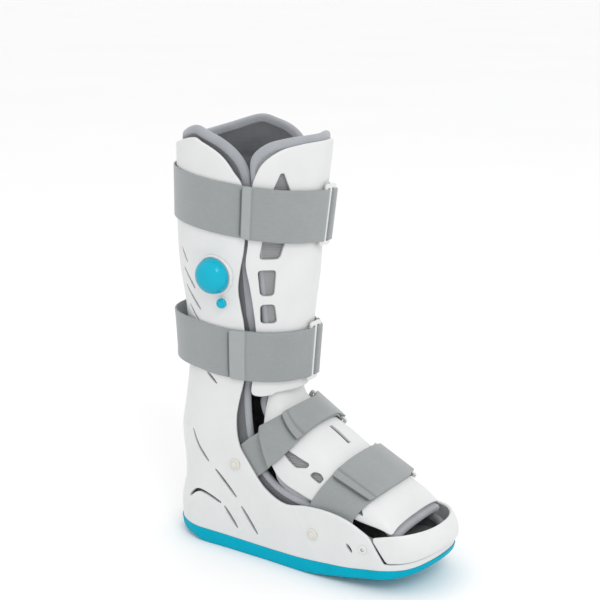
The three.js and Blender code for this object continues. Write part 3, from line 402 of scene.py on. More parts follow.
class Patch:
    """A skin trimmed to where room is positive, its border set on the line."""

    def __init__(self, skin, room, snap=0.35):
        columns = skin.columns if skin.round_about else skin.columns + 1
        rows = skin.rows + 1
        a, b = np.meshgrid(np.arange(columns, dtype=float), np.arange(rows, dtype=float), indexing="ij")
        flat = lambda pa, pb: room(skin.at(pa, pb), pa, pb)
        f = flat(a.ravel(), b.ravel()).reshape(a.shape)
        best = np.full(f.shape, snap)
        way = np.zeros(f.shape + (2,))
        for da, db in ((1, 0), (-1, 0), (0, 1), (0, -1)):
            other = np.roll(f, (-da, -db), axis=(0, 1))
            real = np.ones(f.shape, dtype=bool)
            if db:
                real[:, -1 if db == 1 else 0] = False
            if da and not skin.round_about:
                real[-1 if da == 1 else 0, :] = False
            with np.errstate(divide="ignore", invalid="ignore"):
                t = f / (f - other)
            near = real & (f * other < 0) & (t < best)
            best[near] = t[near]
            way[near] = (da, db)
        moved = best < snap
        ma, mb = a[moved], b[moved]
        wa, wb = way[moved][:, 0], way[moved][:, 1]
        t, f0 = best[moved], f[moved]
        for _ in range(2):
            ft = flat(ma + wa * t, mb + wb * t)
            t = np.clip(t * f0 / np.where(np.abs(f0 - ft) < 1e-12, 1e-12, f0 - ft), 0, 0.6)
        a[moved] += wa * t
        b[moved] += wb * t
        f = np.where(moved, 0.0, f)
        self.a, self.b = a.ravel(), b.ravel()
        self.columns, self.rows = columns, rows
        sign = np.sign(f)
        faces, cuts, ends = [], {}, []
        last = columns if skin.round_about else columns - 1
        name = lambda i, j: (i % columns) * rows + j

        def spot(i, j):
            """A grid point's place and room, past the seam too."""
            k = i % columns
            return a[k, j] + (i - k), b[k, j], f[k, j]

        for i in range(last):
            for j in range(rows - 1):
                corners = [(i, j), (i + 1, j), (i + 1, j + 1), (i, j + 1)]
                signs = [sign[c[0] % columns, c[1]] for c in corners]
                if max(signs) <= 0:
                    continue
                if min(signs) >= 0:
                    faces.append([name(*c) for c in corners])
                    continue
                face = []
                for k in range(4):
                    here, there = corners[k], corners[(k + 1) % 4]
                    if signs[k] >= 0:
                        face.append(name(*here))
                    if signs[k] * signs[(k + 1) % 4] < 0:
                        key = tuple(sorted((name(*here), name(*there))))
                        if key not in cuts:
                            cuts[key] = columns * rows + len(ends)
                            one, two = (here, there) if name(*here) == key[0] else (there, here)
                            ends.append(spot(*one) + spot(*two))
                        face.append(cuts[key])
                if len(face) > 2:
                    faces.append(face)
        if ends:
            ends = np.array(ends)
            one, f1, two, f2 = ends[:, :2], ends[:, 2], ends[:, 3:5], ends[:, 5]
            t = f1 / (f1 - f2)
            for _ in range(2):
                mid = one + (two - one) * t[:, None]
                fm = flat(mid[:, 0], mid[:, 1])
                low = np.sign(fm) == np.sign(f1)
                t = np.where(low, t + (1 - t) * fm / (fm - f2), t * f1 / np.where(low, 1, f1 - fm))
                t = np.clip(t, 0.02, 0.98)
            mid = one + (two - one) * t[:, None]
            self.a, self.b = np.append(self.a, mid[:, 0]), np.append(self.b, mid[:, 1])
        used = np.unique(np.concatenate([np.array(face) for face in faces]))
        renumber = np.full(len(self.a), -1)
        renumber[used] = np.arange(len(used))
        self.a, self.b = self.a[used], self.b[used]
        self.faces = [[int(renumber[v]) for v in face] for face in faces]
        self.renumber = renumber
        self.room = np.maximum(flat(self.a, self.b), 0)

    def borders(self):
        """The border's loops, in the order of the faces."""
        edges = set()
        for face in self.faces:
            edges.update(zip(face, face[1:] + face[:1]))
        following = {one: two for one, two in edges if (two, one) not in edges}
        loops = []
        while following:
            start, at = next(iter(following.items()))
            del following[start]
            loop = [start]
            while at in following:
                loop.append(at)
                at = following.pop(at)
            loops.append(loop)
        return loops


def outline_frames(points, normals):
    """The way out of a closed border at each of its points."""
    ahead = np.roll(points, -1, axis=0) - points
    behind = points - np.roll(points, 1, axis=0)
    tangent = unit(unit(ahead) + unit(behind))
    return unit(np.cross(tangent, normals))


def plate(name, skin, room, wall, rim, floor=None, inner=None, arcs=3):
    """A plate of a wall's thickness under a trimmed skin, with a rounded rim. floor is the height from
    which an inner floor closes it, and inner moves the inner face."""
    patch = Patch(skin, lambda p, a, b: room(p, a, b) - rim)
    normals = skin.normal(patch.a, patch.b)
    base = skin.at(patch.a, patch.b)
    near = patch.room + rim
    under = base - normals * (wall + (inner(base, near)[:, None] if inner else 0))
    count = len(base)
    points = [base, under]
    edge = [near, near]
    faces = [list(face) for face in patch.faces]
    low = set()
    if floor is not None:
        rows = patch.rows
        first = int(np.searchsorted(skin.levels, skin.levels[0] + floor - 0.01 * MM))
        ring = lambda row: [int(patch.renumber[c * rows + row]) for c in range(patch.columns)]
        faces += closing_strips(ring(0), True) + closing_strips([v + count for v in ring(first)], False)
        low = {v for row in range(first) for v in ring(row)}
    faces += [[v + count for v in reversed(face)] for face in patch.faces if not low.intersection(face)]
    for loop in patch.borders():
        if floor is not None and set(loop).issubset(low):
            continue
        out_way = outline_frames(base[loop], normals[loop])
        rings = [np.array(loop)]
        gap = base[loop] - under[loop]
        depth = np.linalg.norm(gap, axis=1)
        down = -gap / depth[:, None]
        for layer in (0, 1):
            turns = np.linspace(0, np.pi / 2, arcs + 1)
            turns = turns[1:] if layer == 0 else turns[::-1][:-1]
            if layer == 1 and np.all(depth < 2.02 * rim):
                turns = turns[1:]
            for turn in turns:
                sunk = rim * (1 - np.cos(turn))
                deep = sunk if layer == 0 else depth - sunk
                rings.append(sum(len(p) for p in points) + np.arange(len(loop)))
                points.append(base[loop] + out_way * rim * np.sin(turn) + down * np.reshape(deep, (-1, 1)))
                edge.append(np.full(len(loop), rim * (1 - np.sin(turn))))
        rings.append(np.array(loop) + count)
        for one, two in zip(rings, rings[1:]):
            ahead_one, ahead_two = np.roll(one, -1), np.roll(two, -1)
            faces += np.stack([ahead_one, one, two, ahead_two], axis=1).tolist()
    body = mesh_object(name, np.concatenate(points), faces, values={"edge": np.concatenate(edge)})
    return body, patch


def closing_strips(around, turned):
    """Faces that close a ring of points from side to side."""
    faces = []
    count = len(around)
    for k in range(count // 2):
        strip = [around[k], around[k + 1], around[-(k + 1) % count], around[-k % count]]
        strip = list(dict.fromkeys(strip))
        faces.append(strip[::-1] if turned else strip)
    return faces


def joined(one, two):
    """Faces between two rings of the same number of points."""
    return np.stack([one, np.roll(one, -1), np.roll(two, -1), two], axis=1).tolist()


def loft_faces(layers, size, base=0):
    """Faces that join rings of a size, one after the other."""
    faces = []
    for row in range(layers - 1):
        here = base + row * size + np.arange(size)
        faces += joined(here, here + size)
    return faces


def closed_loft(layers, size, base=0):
    """The same with a face over the first and the last ring."""
    last = base + (layers - 1) * size
    ends = [list(range(base, base + size))[::-1], list(range(last, last + size))]
    return loft_faces(layers, size, base) + ends


def run_along(path):
    """The distance along a line of points, at each of them."""
    return np.concatenate([[0], np.cumsum(np.linalg.norm(np.diff(path, axis=0), axis=1))])


def mesh_object(name, points, faces, values=None, flat=None):
    """A body of points and faces, with named values at its points and a flat pattern map."""
    mesh = bpy.data.meshes.new(name)
    mesh.from_pydata(np.asarray(points, dtype=float).tolist(), [], faces)
    mesh.update()
    for label, numbers in (values or {}).items():
        layer = mesh.attributes.new(label, "FLOAT", "POINT")
        layer.data.foreach_set("value", np.asarray(numbers, dtype=np.float32))
    if flat is not None:
        lay_map(mesh, flat)
    body = bpy.data.objects.new(name, mesh)
    bpy.context.scene.collection.objects.link(body)
    edit_mesh(body, lambda: bpy.ops.mesh.remove_doubles(threshold=0.00002), bpy.ops.mesh.delete_loose)
    return body


def edit_mesh(body, *steps):
    """Takes steps on the whole of a body's mesh in edit mode."""
    hold(body)
    bpy.ops.object.mode_set(mode="EDIT")
    for step in steps:
        bpy.ops.mesh.select_all(action="SELECT")
        step()
    bpy.ops.object.mode_set(mode="OBJECT")


def hold_none():
    for other in bpy.context.view_layer.objects:
        other.select_set(False)


def hold(body):
    """Selects one object alone and makes it active."""
    hold_none()
    body.select_set(True)
    bpy.context.view_layer.objects.active = body


def offset_skin(skin, distance):
    """The same skin moved out along its normals."""

    def place(u, v):
        h = 2e-3
        if skin.round_about:
            along = skin.place(np.mod(u + h, 1), v) - skin.place(np.mod(u - h, 1), v)
        else:
            along = skin.place(np.minimum(u + h, 1), v) - skin.place(np.maximum(u - h, 0), v)
        low, high = skin.levels[0], skin.levels[-1]
        step = h * (high - low)
        over = skin.place(u, np.minimum(v + step, high)) - skin.place(u, np.maximum(v - step, low))
        return skin.place(u, v) + unit(np.cross(along, over)) * distance

    return Skin(place, skin.columns, skin.levels, skin.round_about)


def face_levels(low, high, step, first=()):
    """Heights of a skin's rows, with some chosen ones at the foot."""
    start = low + (first[-1] if len(first) else 0)
    count = int(round((high - start) / step))
    rest = np.linspace(start, high, count + 1)
    return np.concatenate([[low + f for f in first[:-1]], rest]) if len(first) else rest


def boot_skin(form, low, high, outset, columns, step, first=()):
    place = lambda u, v: form.face(1 - 2 * u, v, outset)
    return Skin(place, columns, face_levels(low, high, step, first), round_about=True)


def front_skin(form, low, high, outset, columns, step, spread):
    place = lambda u, v: form.face(front_turn((2 * u - 1) * spread), v, outset, lifted=False)
    return Skin(place, columns, face_levels(low, high, step))


def front_turn(w):
    """The station at a share round from the front's middle, negative to the outer side."""
    return np.where(w < 0, -1, 1) * (1 - np.abs(w))


def mesh_points(mesh):
    points = np.empty(len(mesh.vertices) * 3, dtype=np.float32)
    mesh.vertices.foreach_get("co", points)
    return points.reshape(-1, 3)


def add_pattern_map(body):
    """Lays a flat pattern map on a body: metres round it across, and its height."""
    points = mesh_points(body.data)
    turn = np.arctan2(points[:, 0], points[:, 1].mean() - points[:, 1])
    lay_map(body.data, np.stack([turn * 0.065, points[:, 2]], axis=-1))


def lay_map(mesh, flat):
    layer = mesh.uv_layers.new(name="Pattern")
    corners = np.empty(len(mesh.loops), dtype=np.int32)
    mesh.loops.foreach_get("vertex_index", corners)
    layer.data.foreach_set("uv", flat[corners].astype(np.float32).ravel())


def facing_out(body):
    """Turns a closed body's faces outwards."""
    edit_mesh(body, lambda: bpy.ops.mesh.normals_make_consistent(inside=False))


def smooth(body, degrees=35):
    hold(body)
    bpy.ops.object.shade_smooth_by_angle(angle=math.radians(degrees))


def use_modifier(body, kind, **settings):
    """Adds a modifier with its settings and applies it."""
    hold(body)
    modifier = body.modifiers.new(kind.title(), kind)
    for key, value in settings.items():
        setattr(modifier, key, value)
    bpy.ops.object.modifier_apply(modifier=modifier.name)


def cut_out(body, cutters):
    """Cuts closed loops of points, lofted through their layers, out of a body."""
    points, faces = [], []
    for layers in cutters:
        faces += closed_loft(len(layers), len(layers[0]), sum(len(p) for p in points))
        points += layers
    cutter = mesh_object("cutter", np.concatenate(points), faces)
    facing_out(cutter)
    use_modifier(body, "BOOLEAN", operation="DIFFERENCE", solver="EXACT", object=cutter)
    bpy.data.objects.remove(cutter, do_unlink=True)


def farthest(low, high, inside):
    """The farthest places between two where a test holds, by halving."""
    for _ in range(40):
        mid = (low + high) / 2
        within = inside(mid)
        low, high = np.where(within, mid, low), np.where(within, high, mid)
    return low


def sunk_layers(points, normals, depth, flare):
    """The layers of a cutter through a wall, flared at its face like a moulded opening."""
    away = outline_frames(points, normals)
    middle = points.mean(axis=0)
    if ((points - middle) * away).sum() < 0:
        away = -away
    steps = ((-4 * MM, 2 * flare), (-flare, 2 * flare), (flare, 0.15 * flare), (depth, 0))
    return [points - normals * sink + away * grow for sink, grow in steps]


def slot_loop(path, normals, width, taper=0.35):
    """A slot's outline on a surface: a long leaf with round ends along a path."""
    tangent = unit(np.gradient(path, axis=0))
    side = np.cross(normals, tangent)
    t = np.linspace(-1, 1, len(path))
    half = (width / 2 * (1 - taper * np.abs(t) ** 3))[:, None]
    ends = np.linspace(-np.pi / 2, np.pi / 2, 7)[1:-1]
    loop, ways = list(path + side * half), list(normals)
    for turn in ends[::-1]:
        loop.append(path[-1] + half[-1] * (side[-1] * np.sin(turn) + tangent[-1] * np.cos(turn)))
        ways.append(normals[-1])
    loop += list((path - side * half)[::-1])
    ways += list(normals[::-1])
    for turn in ends:
        loop.append(path[0] + half[0] * (side[0] * np.sin(turn) - tangent[0] * np.cos(turn)))
        ways.append(normals[0])
    return np.array(loop), np.array(ways)


def rounded_loop(corners, radius, steps=5):
    """A closed outline with each corner rounded."""
    corners = np.array(corners, dtype=float)
    loop = []
    for k, corner in enumerate(corners):
        before, after = corners[k - 1] - corner, corners[(k + 1) % len(corners)] - corner
        room = min(radius, 0.42 * np.linalg.norm(before), 0.42 * np.linalg.norm(after))
        start = corner + before / np.linalg.norm(before) * room
        end = corner + after / np.linalg.norm(after) * room
        for t in np.linspace(0, 1, steps):
            loop.append((1 - t) ** 2 * start + 2 * t * (1 - t) * corner + t * t * end)
    return fill_loop(np.array(loop), 2.5 * MM)


def fill_loop(loop, step):
    """Adds points along a closed outline's long edges."""
    filled = []
    for here, there in zip(loop, np.roll(loop, -1, axis=0)):
        parts = max(int(np.linalg.norm(there - here) / step), 1)
        filled += [here + (there - here) * k / parts for k in range(parts)]
    return np.array(filled)


def tape(name, skin, patch, wall, width, rise, loops=None):
    """A soft binding tape folded over the trimmed edge of a padded piece. width is a number, or gives one
    for each point. Gives back where the tape's seam runs too, on both faces."""
    points, faces, rows = [], [], []
    for loop in patch.borders():
        if loops and not loops(skin.at(patch.a[loop], patch.b[loop])):
            continue
        closed = loop + loop[:1]
        a, b = patch.a[closed], patch.b[closed]
        if skin.round_about:
            jumps = np.cumsum(np.round(np.diff(a) / skin.columns))
            a = a - np.append(0, jumps) * skin.columns
        run = run_along(skin.at(a, b))
        count = max(int(run[-1] / (2 * MM)), 8)
        stops = np.linspace(0, run[-1], count, endpoint=False)
        pa, pb = np.interp(stops, run, a), np.interp(stops, run, b)
        base = skin.at(pa, pb)
        for _ in range(2):
            base = (np.roll(base, 1, axis=0) + 2 * base + np.roll(base, -1, axis=0)) / 4
        normals = skin.normal(pa, pb)
        away = outline_frames(base, normals)
        wide = width(base)[:, None] if callable(width) else width
        walked = skin.walk(pa, pb, -away, wide, 6)
        heights = np.array([1.0, 1.12, 1.15, 1.1, 0.95, 0.6, -0.5]) * rise
        outer, inner = [], []
        for k, (wa, wb) in enumerate(walked):
            at = skin.at(wa, wb) if k else base
            way = skin.normal(wa, wb)
            outer.append(at + way * heights[k])
            inner.append(at - way * (wall + heights[k]))
        centre = base - normals * wall / 2
        reach = wall / 2 + rise
        turns = np.linspace(0, np.pi, 9)[1:-1]
        arc = [centre + (normals * math.cos(turn) + away * math.sin(turn)) * reach for turn in turns]
        section = outer[::-1] + arc + inner
        rows.append((walked[4], outer[4], inner[4]))
        start = sum(len(p) for p in points)
        size = len(section)
        points += section
        for k in range(size):
            one = start + k * count + np.arange(count)
            two = start + (k + 1) % size * count + np.arange(count)
            faces += joined(one, two)
    body = mesh_object(name, np.concatenate(points), faces)
    facing_out(body)
    return body, rows


def stitches(name, lines, length=2.4 * MM, gap=1.3 * MM, radius=0.28 * MM):
    """Thread stitches along lines of points with their normals."""
    turns = np.linspace(0, 2 * np.pi, 6, endpoint=False)
    stations = [(-0.5, 0.25), (-0.32, 0.95), (0.32, 0.95), (0.5, 0.25)]
    template = np.array([(s * length, r * radius * math.cos(t), r * radius * math.sin(t) + 0.35 * radius)
                         for s, r in stations for t in turns])
    shape = closed_loft(len(stations), len(turns))
    points, faces = [], []
    for path, normals in lines:
        run = run_along(path)
        stops = np.arange(length / 2 + gap, run[-1] - length / 2, length + gap)
        at = lambda d, values: np.stack([np.interp(d, run, values[:, k]) for k in range(3)], axis=-1)
        centre = at(stops, path)
        way = unit(at(stops + length / 3, path) - at(stops - length / 3, path))
        up = unit(at(stops, normals))
        side = unit(np.cross(up, way))
        up = np.cross(way, side)
        for c, w, s, u in zip(centre, way, side, up):
            base = len(points) * len(template)
            points.append(c + template[:, :1] * w + template[:, 1:2] * s + template[:, 2:] * u)
            faces += [[base + v for v in face] for face in shape]
    body = mesh_object(name, np.concatenate(points), faces)
    facing_out(body)
    smooth(body, 60)
    return body


# Webbing


class Guide:
    """A surface that a strap runs over, by the distance along it and a share across it."""

    def __init__(self, surface, start, end, base):
        self.surface = surface
        self.base = base
        self.stops = np.linspace(start, end, 401)
        self.run = run_along(surface(self.stops, np.full(401, 0.5)))

    def place(self, distance, across):
        at = np.interp(distance, self.run, self.stops)
        below = distance < 0
        slope = (self.stops[1] - self.stops[0]) / self.run[1]
        at = np.where(below, self.stops[0] + distance * slope, at)
        return self.surface(at, across + 0 * at)

    def distance_at(self, at):
        return float(np.interp(at, self.stops, self.run))

    def over(self, distance, across, offset):
        distance, across, offset = np.broadcast_arrays(distance, across, offset)
        step = 1 * MM
        along = self.place(distance + step, across) - self.place(distance - step, across)
        over = self.place(distance, across + 0.02) - self.place(distance, across - 0.02)
        normal = unit(np.cross(along, over))
        return self.place(distance, across) + normal * (self.base + offset)[..., None]


class Webbing:
    """The sizes that straps and their rings share."""

    def __init__(self, sizes, fit):
        self.thick = sizes.strap_thickness
        self.bar = sizes.ring_bar
        self.ring_thick = sizes.ring_thickness
        self.room = 1 * MM
        self.lift = 0.8 * MM
        self.tail = sizes.strap_tail
        self.fit = fit
        self.under = self.lift + self.thick / 2
        self.bar_offset = self.under + self.thick / 2 + self.fit + self.ring_thick / 2
        self.over_bar = 2 * self.bar_offset - self.under
        self.outer = self.under + self.thick + self.lift
        self.rise = 12 * MM


class RingFrame:
    """The flat frame of a ring whose two outer bars lie over a guide with a gap between them."""

    def __init__(self, webbing, guide, near, width, gap, lift, rise=0.0):
        middles, ups = [], []
        self.gap = gap
        self.pitch = gap + webbing.bar
        for distance, raised in ((near, lift), (near + self.pitch, lift + rise)):
            low = guide.over(distance, 0.0, webbing.bar_offset + raised)
            high = guide.over(distance, 1.0, webbing.bar_offset + raised)
            middles.append((low + high) / 2)
            ups.append(high - low)
        self.webbing = webbing
        self.near = near
        self.far = near + self.pitch
        self.width = width
        self.right = unit(middles[1] - middles[0])
        self.out = unit(np.cross(self.right, ups[0] + ups[1]))
        self.up = np.cross(self.out, self.right)
        self.centre = (middles[0] + middles[1]) / 2

    def place(self, distance, across, offset):
        along = np.asarray(distance - self.near - self.pitch / 2)[..., None]
        aside = (np.asarray(across) - 0.5)[..., None] * self.width
        lift = np.asarray(offset - self.webbing.bar_offset)[..., None]
        return self.centre + along * self.right + aside * self.up + lift * self.out


def strap_section(width, thick):
    """A webbing's cross-section: flat faces and soft edges, by the share across and the height."""
    radius, half = 0.42 * thick, thick / 2
    xs = np.linspace(radius, width - radius, 15)

    def corner(x, y, start):
        turns = np.linspace(start, start + np.pi / 2, 5)
        return [(x + radius * math.cos(turn), y + radius * math.sin(turn)) for turn in turns]

    points = [(x, -half) for x in xs]
    points += corner(width - radius, radius - half, -np.pi / 2)[1:]
    points += corner(width - radius, half - radius, 0)[:-1]
    points += [(x, half) for x in xs[::-1]]
    points += corner(radius, half - radius, np.pi / 2)[1:]
    points += corner(radius, radius - half, np.pi)[:-1]
    return np.array(points)


def webbing_strap(node, guide, course, width, webbing, cloth):
    """A strap along a course of sections, each at a distance and an offset, over the guide or a ring."""
    section = strap_section(width, webbing.thick)
    size = len(section)
    distance = np.array([c["distance"] for c in course])
    offset = np.array([c["offset"] for c in course])
    run_d, run_o = np.gradient(distance), np.gradient(offset)
    length = np.hypot(run_d, run_o)
    run_d, run_o = run_d / length, run_o / length
    points = []
    for k, stop in enumerate(course):
        inset = stop.get("inset", 0.0)
        across = inset + (1 - 2 * inset) * (section[:, 0] / width)
        shift = section[:, 1] * stop.get("thin", 1.0)
        d = distance[k] - run_o[k] * shift
        o = offset[k] + run_d[k] * shift
        if stop.get("frame") is not None:
            points.append(stop["frame"].place(d - stop.get("turn", 0.0), across, o))
        else:
            points.append(guide.over(d, across, o))
    points = np.array(points)
    along = run_along(points.mean(axis=1))
    flat = np.stack([np.repeat(along, size), np.tile(section[:, 0], len(course))], axis=-1)
    values = {"from_end": np.repeat(along[-1] - along, size)}
    faces = closed_loft(len(course), size)
    body = mesh_object(f"{node}_webbing", points.reshape(-1, 3), faces, values, flat)
    facing_out(body)
    smooth(body, 50)
    dress(body, cloth, [node])


def round_bar(webbing, frame, towards, turn=0.0):
    """The turn of a strap round a ring's near bar, or its far bar where towards is negative."""
    bar = frame.near if towards > 0 else frame.far
    middle = bar + towards * webbing.bar / 2
    radius = webbing.bar_offset - webbing.under
    stops = [(bar - towards * webbing.bar / 2, webbing.under)]
    for angle in np.radians(np.linspace(-90, 90, 11)):
        out = webbing.bar_offset + radius * math.sin(angle)
        stops.append((middle + towards * radius * math.cos(angle), out))
    stops.append((bar - towards * webbing.bar / 2, webbing.over_bar))
    return [{"distance": d + turn, "offset": o, "frame": frame, "turn": turn} for d, o in stops]


def outer_layer(webbing, bar, end, step, width, raised=0.0):
    """The layer that comes back from a bar and ends at a distance with rounded corners, its end raised."""
    corner = 5 * MM
    back = 1 if end > bar else -1
    rested = bar + back * webbing.rise
    count = max(int(abs(end - rested) / step), 2)
    stops = np.linspace(rested, end - back * corner, count + 1)
    course = [{"distance": d, "offset": webbing.outer} for d in stops]
    lifted = lambda d: raised * (1 - min(abs(end - d) / (14 * MM), 1)) ** 2
    for t in np.linspace(0, 1, 8)[1:]:
        gone = corner * math.sin(t * np.pi / 2)
        course.append({
            "distance": end - back * (corner - gone),
            "offset": webbing.outer,
            "inset": 0.98 * corner * (1 - math.cos(t * np.pi / 2)) / width,
            "thin": 1 - 0.3 * max(t - 0.8, 0) / 0.2,
        })
    for stop in course:
        stop["offset"] += lifted(stop["distance"])
    return course


# Materials


class Wiring:
    """Places nodes in a tree and joins them."""

    def __init__(self, tree):
        self.tree = tree

    def node(self, kind, inputs=None, **settings):
        """A node with its settings, and its inputs set or joined by name."""
        node = self.tree.nodes.new(kind)
        for key, value in settings.items():
            setattr(node, key, value)
        for label, value in (inputs or {}).items():
            self.feed(node.inputs[label], value)
        return node

    def join(self, source, target):
        self.tree.links.new(source, target)

    def feed(self, socket, value):
        if isinstance(value, bpy.types.NodeSocket):
            self.join(value, socket)
        elif value is not None:
            socket.default_value = value

    def math(self, operation, first, second=None, third=None, clamp=False):
        node = self.node("ShaderNodeMath", operation=operation, use_clamp=clamp)
        for socket, value in zip(node.inputs, (first, second, third)):
            self.feed(socket, value)
        return node.outputs[0]

    def ramp(self, value, low, high):
        """A value brought to 0 to 1 between two stops."""
        inputs = {"Value": value, "From Min": low, "From Max": high}
        return self.node("ShaderNodeMapRange", inputs, interpolation_type="SMOOTHSTEP").outputs["Result"]

    def mix(self, share, first, second):
        node = self.node("ShaderNodeMix", {"Factor": share, "A": first, "B": second}, data_type="RGBA")
        return next(s for s in node.outputs if s.type == "RGBA")

    def noise(self, vector, scale, detail, roughness):
        inputs = {"Vector": vector, "Scale": scale, "Detail": detail, "Roughness": roughness}
        return self.node("ShaderNodeTexNoise", inputs).outputs["Fac"]


def new_group(name, outputs, **numbers):
    """An effect over places as a node group. It takes a tint and a shade where it puts out a colour."""
    group = bpy.data.node_groups.new(name, "ShaderNodeTree")
    inputs = [("Vector", "NodeSocketVector", None)]
    if "Color" in outputs:
        inputs += [(label, "NodeSocketColor", (0.5, 0.5, 0.5, 1)) for label in ("Tint", "Shade")]
    inputs += [(label, "NodeSocketFloat", number) for label, number in numbers.items()]
    for label, kind, default in inputs:
        socket = group.interface.new_socket(name=label, in_out="INPUT", socket_type=kind)
        if default is not None:
            socket.default_value = default
    for label in outputs:
        kind = "NodeSocketColor" if label == "Color" else "NodeSocketFloat"
        group.interface.new_socket(name=label, in_out="OUTPUT", socket_type=kind)
    w = Wiring(group)
    return w, w.node("NodeGroupInput").outputs, w.node("NodeGroupOutput").inputs


def moulded_grain():
    """Fine speckle and slow waviness of a moulded plastic skin."""
    w, get, put = new_group("moulded_grain", ["Color", "Height", "Gloss"], Speckle=0.15)
    fine = w.noise(get["Vector"], 2600, 2, 0.6)
    slow = w.noise(get["Vector"], 34, 3, 0.55)
    patch = w.ramp(slow, 0.3, 0.75)
    w.join(w.mix(w.math("MULTIPLY", patch, 0.5), get["Tint"], get["Shade"]), put["Color"])
    w.join(w.math("MULTIPLY_ADD", fine, get["Speckle"], w.math("MULTIPLY", slow, 0.6)), put["Height"])
    w.join(w.math("MULTIPLY_ADD", fine, 0.12, w.math("MULTIPLY", patch, 0.06)), put["Gloss"])
    return w.tree


def painted_edge_highlight():
    """How strong the painted highlight along an edge is, from the distance to it."""
    w, get, put = new_group("painted_edge_highlight", ["Mask"], Distance=0.01, Reach=0.0015)
    ragged = w.math("MULTIPLY_ADD", w.noise(get["Vector"], 420, 3, 0.6), 1.2, 0.4)
    gone = w.math("DIVIDE", get["Distance"], w.math("MULTIPLY", get["Reach"], ragged))
    w.join(w.math("SUBTRACT", 1.0, gone, clamp=True), put["Mask"])
    return w.tree


def brushed_pile():
    """The brushed loop pile of a strap: fine fibres combed along its length."""
    w, get, put = new_group("brushed_pile", ["Color", "Height"])
    along = {"Vector": get["Vector"], "Scale": (0.35, 1.0, 1.0)}
    combed = w.node("ShaderNodeMapping", along).outputs["Vector"]
    fibre = w.noise(combed, 1900, 3, 0.65)
    clump = w.noise(combed, 420, 3, 0.6)
    patch = w.noise(get["Vector"], 45, 2, 0.5)
    height = w.math("MULTIPLY_ADD", clump, 0.45, w.math("MULTIPLY", fibre, 0.7))
    share = w.ramp(w.math("MULTIPLY_ADD", patch, 0.25, w.math("MULTIPLY", height, 0.75)), 0.3, 0.85)
    w.join(w.mix(share, get["Shade"], get["Tint"]), put["Color"])
    w.join(height, put["Height"])
    return w.tree


def knitted_cover():
    """A knitted fabric: rows of small loops, with softer colour between them."""
    w, get, put = new_group("knitted_cover", ["Color", "Height", "Open"], Pitch=0.0012)
    parts = w.node("ShaderNodeSeparateXYZ", {"Vector": get["Vector"]}).outputs
    turn = w.math("DIVIDE", 2 * math.pi, get["Pitch"])
    columns = w.math("SINE", w.math("MULTIPLY", parts["X"], turn))
    row = w.math("SINE", w.math("MULTIPLY_ADD", columns, 0.6, w.math("MULTIPLY", parts["Y"], turn)))
    loops = w.math("MULTIPLY_ADD", w.math("MULTIPLY", columns, row), 0.5, 0.5)
    fuzz = w.noise(get["Vector"], 2400, 2, 0.6)
    slow = w.noise(get["Vector"], 45, 3, 0.6)
    share = w.math("MULTIPLY_ADD", slow, 0.5, w.math("MULTIPLY", loops, 0.5))
    w.join(w.mix(w.ramp(share, 0.2, 0.85), get["Shade"], get["Tint"]), put["Color"])
    w.join(w.math("MULTIPLY_ADD", fuzz, 0.4, w.math("MULTIPLY", loops, 0.7)), put["Height"])
    w.join(w.math("SUBTRACT", 1.0, w.ramp(loops, 0.1, 0.4)), put["Open"])
    return w.tree


def woven_tape():
    """A plain woven tape: fine ribs across it."""
    w, get, put = new_group("woven_tape", ["Color", "Height"])
    ribs = {"Vector": get["Vector"], "Scale": 420, "Distortion": 1.5, "Detail": 1}
    wave = w.node("ShaderNodeTexWave", ribs, wave_type="BANDS", bands_direction="DIAGONAL").outputs["Fac"]
    fuzz = w.noise(get["Vector"], 2200, 2, 0.6)
    slow = w.noise(get["Vector"], 55, 2, 0.5)
    height = w.math("MULTIPLY_ADD", fuzz, 0.5, w.math("MULTIPLY", wave, 0.5))
    share = w.math("MULTIPLY_ADD", slow, 0.6, w.math("MULTIPLY", height, 0.4))
    w.join(w.mix(w.ramp(share, 0.25, 0.8), get["Shade"], get["Tint"]), put["Color"])
    w.join(height, put["Height"])
    return w.tree


def place_effect(w, maker, places, **values):
    """An effect's group over places, made the first time that a material needs it."""
    group = bpy.data.node_groups.get(maker.__name__) or maker()
    return w.node("ShaderNodeGroup", {"Vector": places, **values}, node_tree=group).outputs


def tinted(w, maker, places, colour, shade, **values):
    return place_effect(w, maker, places, Tint=shade_of(colour, 1), Shade=shade_of(colour, shade), **values)


def start_material(name):
    material = bpy.data.materials.new(name)
    material.use_nodes = True
    material.node_tree.nodes.clear()
    w = Wiring(material.node_tree)
    shader = w.node("ShaderNodeBsdfPrincipled")
    w.node("ShaderNodeOutputMaterial", {"Surface": shader.outputs["BSDF"]})
    return material, w, shader


def finish(w, shader, inputs, height, depth):
    """Feeds a material's shader, and raises its surface by a height of some depth."""
    bump = w.node("ShaderNodeBump", {"Strength": 0.6, "Distance": depth, "Height": height})
    for label, value in {**inputs, "Normal": bump.outputs["Normal"]}.items():
        w.feed(shader.inputs[label], value)


def object_places(w):
    return w.node("ShaderNodeTexCoord").outputs["Object"]


def pattern_places(w):
    return w.node("ShaderNodeUVMap", uv_map="Pattern").outputs["UV"]


def kept_value(w, name):
    """A value that the mesh holds at its points."""
    return w.node("ShaderNodeAttribute", attribute_name=name).outputs["Fac"]


def shade_of(colour, share):
    return (colour[0] * share, colour[1] * share, colour[2] * share, 1)


def brighter(colour, share):
    return tuple(min(c * share + 0.02, 1) for c in colour[:3]) + (1,)


